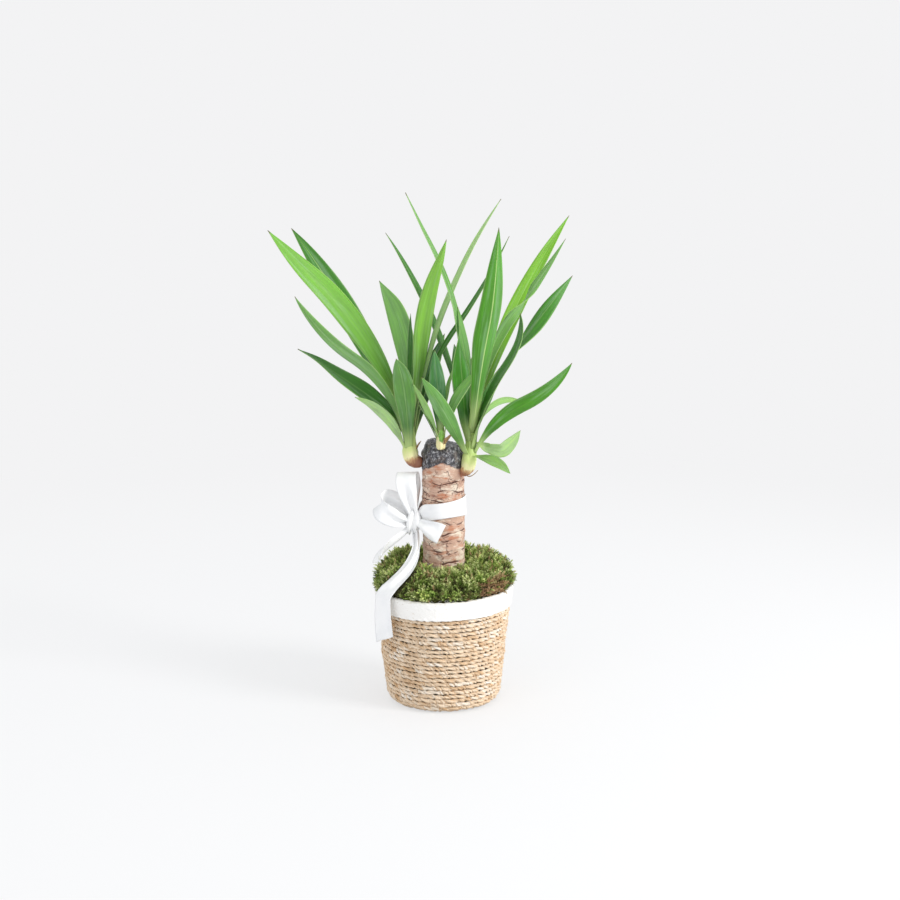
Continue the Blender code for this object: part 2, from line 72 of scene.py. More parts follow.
class Socket:
    """One output of a node, with arithmetic that adds Math nodes."""

    def __init__(self, graph: Graph, link: bpy.types.NodeSocket) -> None:
        """Wrap a node's output socket."""
        self.graph, self.link = graph, link

    def _math(self, operation: str, *values: Any) -> Socket:
        """Add one Math node and return its result."""
        return self.graph.node("ShaderNodeMath", {"operation": operation}, dict(enumerate(values)))

    def __add__(self, other: Any) -> Socket:
        """Return self + other."""
        return self._math("ADD", self, other)

    __radd__ = __add__

    def __sub__(self, other: Any) -> Socket:
        """Return self - other."""
        return self._math("SUBTRACT", self, other)

    def __rsub__(self, other: Any) -> Socket:
        """Return other - self."""
        return self._math("SUBTRACT", other, self)

    def __mul__(self, other: Any) -> Socket:
        """Return self * other."""
        return self._math("MULTIPLY", self, other)

    __rmul__ = __mul__

    def __abs__(self) -> Socket:
        """Return self without its sign."""
        return self._math("ABSOLUTE", self)

    def step(self, low: float, high: float) -> Socket:
        """Rise smoothly from 0 to 1.

        Args:
            low: The value at which the rise begins.
            high: The value at which it ends; a lower one than low makes it fall.

        Returns:
            The risen value.
        """
        settings = {"interpolation_type": "SMOOTHSTEP"}
        values = {"Value": self, "From Min": low, "From Max": high}
        return self.graph.node("ShaderNodeMapRange", settings, values)


class Graph:
    """The node graph of one material."""

    def __init__(self, name: str) -> None:
        """Start a material with one Principled shader.

        Args:
            name: The material's name.
        """
        self.material = bpy.data.materials.new(name)
        self.material.use_nodes = True
        self.tree = self.material.node_tree
        self.shader = self.tree.nodes["Principled BSDF"]

    def node(self, kind: str, settings: dict[str, Any] | None = None,
             values: dict[int | str, Any] | None = None, output: int | str = 0) -> Socket:
        """Add a node.

        Args:
            kind: The node's type.
            settings: Its own settings; "stops" are a colour ramp's (place, colour) pairs.
            values: Its inputs by name or number, as numbers, colours or links.
            output: The output wanted, by name or number.

        Returns:
            That output.
        """
        node = self.tree.nodes.new(kind)
        for key, value in (settings or {}).items():
            if key != "stops":
                setattr(node, key, value)
                continue
            elements = node.color_ramp.elements
            for i, (place, colour) in enumerate(value):
                element = elements[i] if i < len(elements) else elements.new(place)
                element.position, element.color = place, colour
        for key, value in (values or {}).items():
            self.feed(node.inputs[key], value)
        return Socket(self, node.outputs[output])

    def feed(self, entry: bpy.types.NodeSocket, value: Any) -> None:
        """Give a node's input a link or a constant.

        Args:
            entry: The input.
            value: A socket to link, or the constant.
        """
        if isinstance(value, Socket):
            self.tree.links.new(value.link, entry)
        else:
            entry.default_value = value

    def place(self) -> Socket:
        """Return the point in the object's own frame."""
        return self.node("ShaderNodeTexCoord", output="Object")

    def marked(self, name: str, output: str = "Fac") -> Socket:
        """Return a value or vector that the mesh carries."""
        return self.node("ShaderNodeAttribute", {"attribute_name": name}, output=output)

    def stretched(self, vector: Socket, factors: Sequence[float]) -> Socket:
        """Return a vector scaled by three factors."""
        return self.node("ShaderNodeVectorMath", {"operation": "MULTIPLY"}, {0: vector, 1: tuple(factors)})

    def axis(self, vector: Socket, name: str) -> Socket:
        """Return one axis of a vector."""
        return self.node("ShaderNodeSeparateXYZ", None, {0: vector}, name)

    def vector(self, x: Any, y: Any, z: Any) -> Socket:
        """Return a vector of three values."""
        return self.node("ShaderNodeCombineXYZ", None, {0: x, 1: y, 2: z})

    def grain(self, vector: Socket, scale: float, detail: float = 4.0, rough: float = 0.6) -> Socket:
        """Return noise from 0 to 1 at a scale."""
        values = {"Vector": vector, "Scale": scale, "Detail": detail, "Roughness": rough}
        return self.node("ShaderNodeTexNoise", {"noise_dimensions": "3D"}, values)

    def scatter(self, vector: Socket, scale: float) -> Socket:
        """Return a noise colour, used to bend a pattern's coordinates."""
        values = {"Vector": vector, "Scale": scale, "Detail": 3.0}
        return self.node("ShaderNodeTexNoise", {"noise_dimensions": "3D"}, values, "Color")

    def mix(self, factor: Any, first: Any, second: Any, how: str = "MIX") -> Socket:
        """Return a mix of two colours."""
        settings = {"data_type": "RGBA", "blend_type": how}
        return self.node("ShaderNodeMix", settings, {0: factor, 6: first, 7: second}, 2)

    def ramp(self, value: Socket, stops: Sequence[tuple[float, str]]) -> Socket:
        """Return a colour picked along a row of (place, hex colour) stops."""
        return self.node("ShaderNodeValToRGB", {"stops": [(p, paint(c)) for p, c in stops]}, {"Fac": value})

    def finish(self, colour: Socket, roughness: Any, height: Socket | None = None, relief: float = 0.0005,
               strength: float = 0.5, **constants: Any) -> bpy.types.Material:
        """Wire the shader and return the material.

        Args:
            colour: The base colour.
            roughness: A number or a link.
            height: Relief for the Bump node, or None.
            relief: Height in metres of the relief.
            strength: How strongly the relief shows.
            constants: More values for the shader's own inputs, with _ for a space.

        Returns:
            The finished material.
        """
        entries = {"Base Color": colour, "Roughness": roughness}
        if height is not None:
            values = {"Height": height, "Distance": relief, "Strength": strength}
            entries["Normal"] = self.node("ShaderNodeBump", None, values)
        entries |= {key.replace("_", " "): value for key, value in constants.items()}
        for key, value in entries.items():
            self.feed(self.shader.inputs[key], value)
        return self.material


# ---------------------------------------------------------------- finishes


@dataclass(frozen=True)
class SeagrassFinish:
    """Twisted seagrass: pale straw strands of uneven tone, with dark flecks and painted shade where plies
    meet.
    """

    name: str = "seagrass"
    straw: str = "#F1D9BB"
    pale: str = "#FDF6EA"
    tan: str = "#D9B489"
    # gap: the rope's own dark flecks, and painted shade in the hollows between plies.
    gap: str = "#6E4E34"

    def build(self) -> bpy.types.Material:
        """Wire the strands, their flecks and the painted shade between plies.

        Returns:
            The material.
        """
        g = Graph(self.name)
        fibre, hollow, strand = g.marked("fibre", "Vector"), g.marked("hollow"), g.marked("strand")
        blades = g.grain(g.stretched(fibre, (1500, 1500, 70)), 1.0, 3.0)
        broad = g.grain(g.stretched(fibre, (60, 60, 30)), 1.0, 2.0)
        colour = g.ramp(strand * 0.42 + broad * 0.26 + blades * 0.46 - 0.07,
                        [(0.28, self.tan), (0.44, self.straw), (0.58, self.straw), (0.74, self.pale)])
        flecks = g.grain(g.stretched(fibre, (700, 700, 210)), 1.0, 2.0)
        colour = g.mix(flecks.step(0.57, 0.68) * 0.42, colour, paint(self.gap))
        # Painted shade: the hollows between plies are darkened with the gap colour.
        colour = g.mix(hollow.step(0.50, 0.95) * 0.80, colour, paint(self.gap))
        return g.finish(colour, 0.62 + hollow * 0.3, blades, 0.0005, 0.8)


@dataclass(frozen=True)
class ChalkRopeFinish:
    """Rope under a thick chalky white coat, mottled where the coat is thin, with painted shade in the
    hollows between rows.
    """

    name: str = "white_rope"
    white: str = "#FCFBF8"
    shade: str = "#E4DFD6"
    bare: str = "#CDBCA2"

    def build(self) -> bpy.types.Material:
        """Wire the white coat, its chips and its grain, and the painted shade in its hollows.

        Returns:
            The material.
        """
        g = Graph(self.name)
        hollow = g.marked("hollow")
        spots = g.grain(g.place(), 420.0, 5.0)
        chips = g.grain(g.stretched(g.place(), (190, 190, 330)), 1.0, 4.0)
        # Painted shade: the hollows between rows take the shade grey; the next line also mottles the coat
        # with it.
        colour = g.mix(hollow * 0.6, paint(self.white), paint(self.shade))
        colour = g.mix(spots.step(0.52, 0.70) * 0.30, colour, paint(self.shade))
        colour = g.mix(chips.step(0.60, 0.72) * 0.45, colour, paint(self.bare))
        return g.finish(colour, 0.9, spots, 0.0006, 0.7)


@dataclass(frozen=True)
class MossFinish:
    """Branching moss: dark at the root, yellow-green at the tips, brown where it has died."""

    name: str = "moss"
    deep: str = "#23280F"
    green: str = "#7C9641"
    tip: str = "#E3ECA6"
    fresh: str = "#96BC50"
    dead: str = "#B08A6A"

    def build(self) -> bpy.types.Material:
        """Wire the fade from root to tip, fresh patches and dead sprigs.

        Returns:
            The material.
        """
        g = Graph(self.name)
        colour = g.ramp(g.marked("tip"), [(0.16, self.deep), (0.48, self.green), (0.92, self.tip)])
        patch = g.grain(g.place(), 60.0, 3.0)
        colour = g.mix(patch.step(0.46, 0.62) * 0.45, colour, paint(self.fresh), "OVERLAY")
        colour = g.mix(g.marked("age"), colour, paint(self.dead))
        return g.finish(colour, 0.75, Specular_IOR_Level=0.25)


@dataclass(frozen=True)
class SoilyFinish:
    """A crumbly dark surface: the bed under the moss, or peat."""

    name: str
    dark: str
    light: str

    def build(self) -> bpy.types.Material:
        """Wire the crumbs.

        Returns:
            The material.
        """
        g = Graph(self.name)
        crumbs = g.grain(g.place(), 380.0, 6.0)
        colour = g.ramp(crumbs, [(0.35, self.dark), (0.70, self.light)])
        return g.finish(colour, 0.95, crumbs, 0.0012, 0.9)


@dataclass(frozen=True)
class MouldedFinish:
    """Thin moulded plastic with a fine grain and faint scuffs."""

    name: str
    colour: str
    scuff: str
    roughness: float

    def build(self) -> bpy.types.Material:
        """Wire the grain and the scuffs.

        Returns:
            The material.
        """
        g = Graph(self.name)
        fine = g.grain(g.place(), 900.0, 3.0)
        worn = g.grain(g.place(), 60.0, 5.0).step(0.55, 0.75)
        colour = g.mix(worn * 0.4, paint(self.colour), paint(self.scuff))
        return g.finish(colour, worn * 0.15 + self.roughness, fine, 0.0002, 0.4)


@dataclass(frozen=True)
class BarkFinish:
    """Pinkish beige bark with orange patches, dark scars and cracks, and mottled wax on the cut top."""

    name: str = "bark"
    pink: str = "#CCA893"
    pale: str = "#EBDAC6"
    orange: str = "#B96B40"
    brown: str = "#946858"
    scar: str = "#57332B"
    night: str = "#1D1C21"
    wax: str = "#45444A"
    film: str = "#7C7C80"
    bloom: str = "#C3C5C6"
    dust: str = "#8A7666"

    def build(self) -> bpy.types.Material:
        """Wire the plates, rust, seams and cracks, and the seal over them.

        Returns:
            The material.
        """
        g = Graph(self.name)
        spot, crack, wax = g.place(), g.marked("crack"), g.marked("wax")
        plates = g.grain(g.stretched(spot, (45, 45, 95)), 1.0, 3.0)
        fine = g.grain(g.stretched(spot, (260, 260, 900)), 1.0, 5.0, 0.65)
        rust = g.grain(g.stretched(spot, (38, 38, 110)), 1.3, 4.0).step(0.53, 0.64)
        colour = g.ramp(plates * 0.7 + fine * 0.3,
                        [(0.34, self.brown), (0.43, self.pink), (0.50, self.pink), (0.58, self.pale)])
        colour = g.mix(rust * 0.66, colour, paint(self.orange))
        colour = g.mix(fine.step(0.56, 0.74) * 0.40, colour, paint(self.brown))
        cells = g.stretched(spot, (62, 62, 118))
        stray = g.stretched(g.scatter(spot, 120.0), (0.9, 0.9, 0.9))
        bent = g.node("ShaderNodeVectorMath", {"operation": "ADD"}, {0: cells, 1: stray})
        seam = g.node("ShaderNodeTexVoronoi", {"feature": "DISTANCE_TO_EDGE"},
                      {"Vector": bent, "Scale": 1.0})
        broken = g.grain(spot, 70.0, 2.0).step(0.44, 0.58)
        colour = g.mix(seam.step(0.055, 0.012) * broken * 0.80, colour, paint(self.scar))
        colour = g.mix(crack.step(0.22, 0.62) * 0.95, colour, paint(self.scar))
        film = g.grain(g.stretched(spot, (330, 330, 240)), 1.0, 5.0, 0.75)
        dusty = g.grain(spot, 90.0, 3.0)
        dark = g.ramp(film, [(0.40, self.night), (0.50, self.wax), (0.57, self.film), (0.66, self.bloom)])
        dark = g.mix(dusty.step(0.52, 0.66) * 0.30, dark, paint(self.dust))
        colour = g.mix(wax, colour, dark)
        rough = 0.80 - wax * 0.46
        return g.finish(colour, rough, fine * 0.6 + film * wax * 0.8 - crack * 0.8, 0.0009, 0.9)


@dataclass(frozen=True)
class ShootFinish:
    """Shoot stem: brown where it leaves the bark, cream, then yellow-green."""

    name: str = "shoot"
    stub: str = "#96624A"
    tan: str = "#C79F70"
    cream: str = "#F0EBB4"
    lime: str = "#D2DE90"
    green: str = "#B2CC74"

    def build(self) -> bpy.types.Material:
        """Wire the fade from the brown foot to green.

        Returns:
            The material.
        """
        g = Graph(self.name)
        rise = g.marked("rise")
        lines = g.grain(g.stretched(g.place(), (900, 900, 60)), 1.0, 3.0)
        colour = g.ramp(rise + (lines - 0.5) * 0.25,
                        [(0.04, self.stub), (0.14, self.tan), (0.24, self.cream), (0.55, self.lime),
                         (0.95, self.green)])
        return g.finish(colour, 0.42, lines, 0.0004, 0.5, Subsurface_Weight=0.15, Subsurface_Scale=0.003,
                        Subsurface_Radius=(0.8, 1.0, 0.4))


@dataclass(frozen=True)
class LeafFinish:
    """Yucca blade: parallel veins, a pale foot, pale margins and a brown point."""

    name: str = "leaf"
    foot: str = "#C6D98C"
    margin: str = "#B7D28C"
    point: str = "#6B5236"
    vein_light: str = "#D6EE9C"
    vein_dark: str = "#2E5E22"
    cloud_light: str = "#CFE59A"
    cloud_dark: str = "#2F6428"
    bloom: str = "#B4D3B2"
    rib: str = "#D8EE9E"

    def build(self) -> bpy.types.Material:
        """Wire the veins, cloudy tones, bloom, rib, margin, foot and point.

        Returns:
            The material.
        """
        g = Graph(self.name)
        blade = g.marked("blade", "Vector")
        across, run, salt = (g.axis(blade, name) for name in "XYZ")
        veins = g.grain(g.vector(across * 15.0, run * 1.6, salt * 50.0), 1.0, 5.0, 0.68)
        cloud = g.grain(g.vector(across * 1.3, run * 4.0, salt * 70.0), 1.0, 3.0)
        film = g.grain(g.vector(across * 2.2, run * 2.4, salt * 90.0 + 7.0), 1.0, 4.0)
        tint = g.marked("tint", "Color")
        colour = g.mix(veins.step(0.46, 0.70) * 0.50, tint, paint(self.vein_light), "SOFT_LIGHT")
        colour = g.mix(veins.step(0.50, 0.34) * 0.34, colour, paint(self.vein_dark))
        colour = g.mix(cloud.step(0.44, 0.68) * 0.40, colour, paint(self.cloud_light), "SOFT_LIGHT")
        colour = g.mix(cloud.step(0.48, 0.30) * 0.22, colour, paint(self.cloud_dark))
        waxy = film.step(0.48, 0.68) * (veins * 0.9 + 0.2)
        colour = g.mix(waxy * 0.34, colour, paint(self.bloom))
        edge = abs(across)
        keel = edge.step(0.07, 0.02) * g.marked("keel")
        colour = g.mix(keel * 0.55, colour, paint(self.rib))
        colour = g.mix(edge.step(0.90, 1.0) * 0.50, colour, paint(self.margin))
        colour = g.mix(run.step(0.22, 0.02) * 0.62, colour, paint(self.foot))
        colour = g.mix(run.step(0.978, 0.996) * 0.85, colour, paint(self.point))
        return g.finish(colour, 0.40 + cloud * 0.14, veins, 0.00025, 0.5,
                        Subsurface_Weight=0.15, Subsurface_Scale=0.002, Subsurface_Radius=(0.5, 1.0, 0.25),
                        Specular_IOR_Level=0.36)


@dataclass(frozen=True)
class HuskFinish:
    """Dry papery husk and root."""

    name: str = "husk"
    straw: str = "#B99A66"
    brown: str = "#6E4C2C"

    def build(self) -> bpy.types.Material:
        """Wire the dry fibres.

        Returns:
            The material.
        """
        g = Graph(self.name)
        lines = g.grain(g.stretched(g.place(), (700, 700, 120)), 1.0, 4.0)
        return g.finish(g.ramp(lines, [(0.35, self.brown), (0.65, self.straw)]), 0.8, lines, 0.0004, 0.7)


@dataclass(frozen=True)
class SatinFinish:
    """White satin ribbon: a fine weave with a soft sheen, soft waves of painted shade and woven edges."""

    name: str = "satin"
    white: str = "#FAFAFA"
    # cool: the grey-blue of the painted shade in the waves, also laid lightly on the woven edges.
    wave_shade_and_edge: str = "#ECEEF0"

    def build(self) -> bpy.types.Material:
        """Wire the weave, its soft waves of painted shade and its edges.

        Returns:
            The material.
        """
        g = Graph(self.name)
        cloth = g.marked("cloth", "Vector")
        threads = g.grain(g.stretched(cloth, (9000, 700, 1)), 1.0, 2.0)
        edge = abs(g.axis(cloth, "X")).step(0.0112, 0.0121)
        waves = g.grain(g.stretched(cloth, (60, 30, 1)), 1.0, 2.0)
        # Painted shade: soft grey-blue waves over the white satin; the edges take a little of the same
        # grey.
        colour = g.mix(waves.step(0.35, 0.70) * 0.6 + edge * 0.3, paint(self.white), paint(self.wave_shade_and_edge))
        return g.finish(colour, 0.36 + threads * 0.12, threads * 0.5 + edge * 0.5, 0.0002, 0.30,
                        Sheen_Weight=0.12, Specular_IOR_Level=0.55)


# ---------------------------------------------------------------- modelling helpers


def deselect() -> None:
    """Leave nothing selected."""
    bpy.ops.object.select_all(action="DESELECT")


def take(*pieces: bpy.types.Object) -> None:
    """Select these pieces alone; the first is active."""
    deselect()
    for piece in pieces:
        piece.select_set(True)
    bpy.context.view_layer.objects.active = pieces[0]


def added(name: str) -> bpy.types.Object:
    """Name the primitive that was just added.

    Args:
        name: The name of the piece and of its mesh.

    Returns:
        The piece.
    """
    piece = bpy.context.object
    piece.name = piece.data.name = name
    return piece


def apply_all(piece: bpy.types.Object) -> bpy.types.Object:
    """Apply every modifier of a piece in order.

    Args:
        piece: The piece.

    Returns:
        The same piece.
    """
    take(piece)
    for modifier in list(piece.modifiers):
        bpy.ops.object.modifier_apply(modifier=modifier.name)
    return piece


def settle(piece: bpy.types.Object) -> bpy.types.Object:
    """Put a piece's place, turn and size into its mesh.

    Args:
        piece: The piece.

    Returns:
        The same piece.
    """
    take(piece)
    bpy.ops.object.transform_apply(location=True, rotation=True, scale=True)
    return piece


def twin(piece: bpy.types.Object, name: str) -> bpy.types.Object:
    """Copy a piece together with its mesh.

    Args:
        piece: The piece to copy.
        name: The copy's name.

    Returns:
        The copy.
    """
    take(piece)
    bpy.ops.object.duplicate(linked=False)
    return added(name)


def cleaned(piece: bpy.types.Object, merge: float = 0.0, outward: bool = True) -> bpy.types.Object:
    """Merge a mesh's near points and turn its faces outward.

    Args:
        piece: The piece.
        merge: Points nearer to each other than this are merged; 0 merges none.
        outward: Whether the faces are turned.

    Returns:
        The same piece.
    """
    take(piece)
    bpy.ops.object.mode_set(mode="EDIT")
    bpy.ops.mesh.select_all(action="SELECT")
    if merge:
        bpy.ops.mesh.remove_doubles(threshold=merge)
    if outward:
        bpy.ops.mesh.normals_make_consistent(inside=False)
    bpy.ops.object.mode_set(mode="OBJECT")
    return piece


def evened(piece: bpy.types.Object, voxel: float) -> bpy.types.Object:
    """Rebuild a piece's surface as an even mesh.

    Args:
        piece: The piece.
        voxel: The size of the mesh's steps.

    Returns:
        The same piece.
    """
    remesh = piece.modifiers.new("even", "REMESH")
    remesh.mode, remesh.voxel_size = "VOXEL", voxel
    return apply_all(piece)


def thickened(piece: bpy.types.Object, thickness: float) -> bpy.types.Object:
    """Give a sheet its thickness, half to each side.

    Args:
        piece: The sheet.
        thickness: Its whole thickness.

    Returns:
        The same piece.
    """
    solid = piece.modifiers.new("thick", "SOLIDIFY")
    solid.thickness, solid.offset = thickness, 0.0
    return apply_all(piece)


def copy_node(node: str, name: str) -> bpy.types.Object:
    """Copy a CAD node's mesh and merge its loose triangles.

    Args:
        node: The node's name.
        name: The copy's name.

    Returns:
        The new piece.
    """
    piece = bpy.data.objects.new(name, bpy.data.objects[node].data.copy())
    piece.data.materials.clear()
    bpy.context.scene.collection.objects.link(piece)
    return cleaned(piece, 1e-5)


def joined(pieces: Sequence[bpy.types.Object], name: str) -> bpy.types.Object:
    """Join pieces into one.

    Args:
        pieces: The pieces; the first one stays.
        name: The name of the whole.

    Returns:
        The whole.
    """
    take(*pieces)
    if len(pieces) > 1:
        bpy.ops.object.join()
    return added(name)


def points_of(piece: bpy.types.Object) -> np.ndarray:
    """Read a piece's points.

    Args:
        piece: The piece.

    Returns:
        Rows of x, y, z.
    """
    flat = np.empty(len(piece.data.vertices) * 3)
    piece.data.vertices.foreach_get("co", flat)
    return flat.reshape(-1, 3)


def set_points(piece: bpy.types.Object, points: np.ndarray) -> None:
    """Move a piece's points."""
    piece.data.vertices.foreach_set("co", np.ascontiguousarray(points, dtype=np.float32).ravel())
    piece.data.update()


def normals_of(piece: bpy.types.Object) -> np.ndarray:
    """Return the normal at each point of a piece."""
    return np.array([v.normal[:] for v in piece.data.vertices])


def mark(piece: bpy.types.Object, name: str, values: np.ndarray) -> None:
    """Store a value on every point of a piece.

    Args:
        piece: The piece.
        name: The attribute's name.
        values: A number, a vector or a colour for each point.
    """
    kinds = {1: ("FLOAT", "value"), 3: ("FLOAT_VECTOR", "vector"), 4: ("FLOAT_COLOR", "color")}
    kind, key = kinds[1 if values.ndim == 1 else values.shape[1]]
    store = piece.data.attributes.new(name, kind, "POINT")
    store.data.foreach_set(key, np.ascontiguousarray(values, dtype=np.float32).ravel())


def fuzz(points: np.ndarray, scale: float, seed: float = 0.0) -> np.ndarray:
    """Return smooth noise from about -1 to 1 at each point."""
    shift = Vector((seed * 7.13, seed * 3.71, seed * 5.17))
    return np.array([noise.noise(Vector(p) * scale + shift) for p in points])


def smooth_rise(values: np.ndarray, low: float, high: float) -> np.ndarray:
    """Return 0 below low and 1 above high, with a smooth rise between."""
    share = np.clip((values - low) / (high - low), 0, 1)
    return share * share * (3 - 2 * share)


def wrapped(angle: Any) -> Any:
    """Return an angle, or an array of them, moved into the turn from -pi to pi."""
    return (angle + math.pi) % math.tau - math.pi


def ring_of(turn: np.ndarray) -> np.ndarray:
    """Return the points at these turns on a circle of radius 1."""
    return np.stack([np.cos(turn), np.sin(turn), np.zeros_like(turn)], axis=1)


def gather(name: str, points: np.ndarray, faces: np.ndarray | list) -> bpy.types.Object:
    """Make a piece from points and faces.

    Args:
        name: The piece's name.
        points: Rows of x, y, z.
        faces: The numbers of each face's points.

    Returns:
        The piece.
    """
    mesh = bpy.data.meshes.new(name)
    mesh.from_pydata(points.tolist(), [], faces.tolist() if isinstance(faces, np.ndarray) else faces)
    mesh.update()
    piece = bpy.data.objects.new(name, mesh)
    bpy.context.scene.collection.objects.link(piece)
    return piece


def hand_over(piece: bpy.types.Object, material: bpy.types.Material, nodes: Iterable[str] = (),
              smooth: bool = True) -> bpy.types.Object:
    """Give a finished piece its material and its body, and hide the CAD nodes that it stands for.

    Args:
        piece: The finished piece.
        material: Its material.
        nodes: The CAD nodes that it stands for.
        smooth: Whether it is shaded smooth.

    Returns:
        The same piece.
    """
    piece.data.materials.clear()
    piece.data.materials.append(material)
    if smooth:
        take(piece)
        bpy.ops.object.shade_smooth()
    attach(piece, "root")
    nodes = list(nodes)
    if nodes:
        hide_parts(*nodes)
    LOG.info("%s: %d faces", piece.name, len(piece.data.polygons))
    return piece


# ---------------------------------------------------------------- basket and collar


@dataclass
class RopeBasket:
    """Basket of stacked rings of two-ply seagrass rope, with a white rope collar on top.

    Attributes:
        slack_waves: (size, waves round the row, how many more by row) of the rope's uneven pull.
        calm_radius: Rows inside this radius are pulled less unevenly.
        stray_out: How far a row wanders outward.
        stray_up: How far a row wanders upward.
        collar_out: How far the collar's rope stands out from the wall's line.
        collar_number: The number of the collar's first row, which sets its tones and waves.
        coat_depth: How far under the rope's crests the middle of the coat lies.
        soft_turn: How far round the left side, in radians, the dent and the bulge reach.
        soft_from: The radius from which the wall gives way; the floor inside it stays flat.
        tilt_from: The height from which the right side is lifted.
    """

    height: float = 0.1450
    rim_radius: float = 0.0870
    base_radius: float = 0.0720
    corner: float = 0.0120
    rope_radius: float = 0.0030
    ply_radius: float = 0.00190
    ply_sides: int = 6
    half_twist: float = 0.0074
    twist_steps: int = 5
    row_pitch: float = 0.00535
    slack_waves: tuple[tuple[float, int, int], ...] = ((0.0024, 13, 5), (0.0013, 29, 7))
    calm_radius: float = 0.05
    stray_out: float = 0.0006
    stray_up: float = 0.0009
    collar_height: float = 0.0245
    collar_out: float = 0.0018
    collar_pitch: float = 0.0049
    collar_fat: float = 1.12
    collar_number: int = 60
    coat_top: float = 0.0022
    coat_trim: float = 0.002
    coat_depth: float = 0.0017
    coat_thickness: float = 0.0026
    coat_voxel: float = 0.00085
    soft_turn: float = 0.75
    soft_from: float = 0.045
    soft_full: float = 0.062
    dent_depth: float = 0.0060
    dent_height: float = 0.0980
    dent_spread: float = 0.022
    bulge_out: float = 0.0020
    bulge_height: float = 0.0620
    bulge_spread: float = 0.012
    rim_tilt: float = 0.0022
    tilt_from: float = 0.03

    def twist_unit(self, ply_radius: float) -> bpy.types.Object:
        """Sweep two rounds into half a twist of rope along Z.

        Args:
            ply_radius: The radius of each ply.

        Returns:
            The half twist.
        """
        rounds = []
        for side in (1, -1):
            deselect()
            bpy.ops.mesh.primitive_circle_add(vertices=self.ply_sides, radius=ply_radius,
                                              fill_type="NOTHING",
                                              location=(side * (self.rope_radius - ply_radius), 0, 0),
                                              rotation=(0, 0, 0 if side > 0 else math.pi))
            rounds.append(settle(added("ply")))
        unit = joined(rounds, "twist_unit")
        screw = unit.modifiers.new("twist", "SCREW")
        screw.angle, screw.screw_offset, screw.axis = -math.pi, self.half_twist, "Z"
        screw.steps = screw.render_steps = self.twist_steps
        screw.use_merge_vertices = False
        return cleaned(apply_all(unit))

    def settled(self, points: np.ndarray) -> np.ndarray:
        """Push the soft wall in on its left side, let it bulge below and lift the right rim.

        Args:
            points: Rows of x, y, z on the even basket.

        Returns:
            The points as they lie on the soft one.
        """
        turn = np.arctan2(points[:, 1], points[:, 0])
        flat, up = np.hypot(points[:, 0], points[:, 1]), points[:, 2]
        side = np.exp(-(wrapped(turn - math.pi) / self.soft_turn) ** 2)
        wall = smooth_rise(flat, self.soft_from, self.soft_full)
        dent = self.dent_depth * side * np.exp(-((up - self.dent_height) / self.dent_spread) ** 2) * wall
        bulge = self.bulge_out * side * np.exp(-((up - self.bulge_height) / self.bulge_spread) ** 2) * wall
        moved = flat - dent + bulge
        rise = self.rim_tilt * np.maximum(0, up - self.tilt_from) / self.height * np.cos(turn)
        return np.stack([moved * np.cos(turn), moved * np.sin(turn), up + rise], axis=1)

    def straight(self, unit: bpy.types.Object, count: int, name: str) -> bpy.types.Object:
        """Repeat the half twist along Z.

        Args:
            unit: The half twist.
            count: How many there are.
            name: The rope's name.

        Returns:
            The straight rope.
        """
        rope = twin(unit, name)
        array = rope.modifiers.new("run", "ARRAY")
        array.count = count
        array.use_relative_offset, array.use_constant_offset = False, True
        array.constant_offset_displace = (0, 0, self.half_twist)
        array.use_merge_vertices, array.merge_threshold = True, 1e-5
        return apply_all(rope)

    def row(self, unit: bpy.types.Object, radius: float, height: float, number: int) -> bpy.types.Object:
        """Lay a ring of rope; each row is a little uneven.

        Args:
            unit: The half twist.
            radius: The ring's radius.
            height: Its height.
            number: The row's number, which sets its tones and waves.

        Returns:
            The row.
        """
        count = max(3, round(math.tau * radius / self.half_twist))
        row = self.straight(unit, count, f"row_{number}")
        line = points_of(row)
        around = line[:, 2] / (count * self.half_twist) * math.tau
        loose = sum(size * np.sin(around * (waves + number % more) + number * size * 900)
                    for size, waves, more in self.slack_waves)
        turn = around + loose / radius * min(1.0, radius / self.calm_radius) + number * GOLDEN_TURN
        across = np.hypot(line[:, 0], line[:, 1])
        angle = np.arctan2(line[:, 1], line[:, 0]) + math.pi * line[:, 2] / self.half_twist
        ply = (np.cos(angle) < 0).astype(int)
        shown = np.floor(line[:, 2] / self.half_twist + ply + 0.5).astype(int)
        tones = np.random.default_rng(number).random(2 * count + 4)
        fibre = [across * np.cos(angle), across * np.sin(angle), line[:, 2] + number * 1.7]
        mark(row, "strand", tones[shown % len(tones)])
        mark(row, "fibre", np.stack(fibre, axis=1))
        # hollow: how deep a point lies in the rope; the finishes paint shade there.
        mark(row, "hollow", 1 - np.clip(across / self.rope_radius, 0, 1))
        ring = ring_of(turn)
        uneven = 1 + 0.13 * fuzz(ring * 0.9, 5.0, number)
        grow = uneven * (0.90 + 0.22 * tones[(shown * 7) % len(tones)])
        wave_out, wave_up = (fuzz(ring, 4.1, number + shift) for shift in (0.3, 0.6))
        out = radius + line[:, 0] * grow + self.stray_out * wave_out
        up = height + line[:, 1] * grow + self.stray_up * wave_up
        laid = np.stack([out * np.cos(turn), out * np.sin(turn), np.maximum(up, 0.0)], axis=1)
        set_points(row, self.settled(laid))
        return cleaned(row, 2e-5, outward=False)

    def wall_radius(self, height: float) -> float:
        """Return the outer radius of the rope wall at a height."""
        return self.base_radius + (self.rim_radius - self.base_radius) * height / self.height - 0.0015

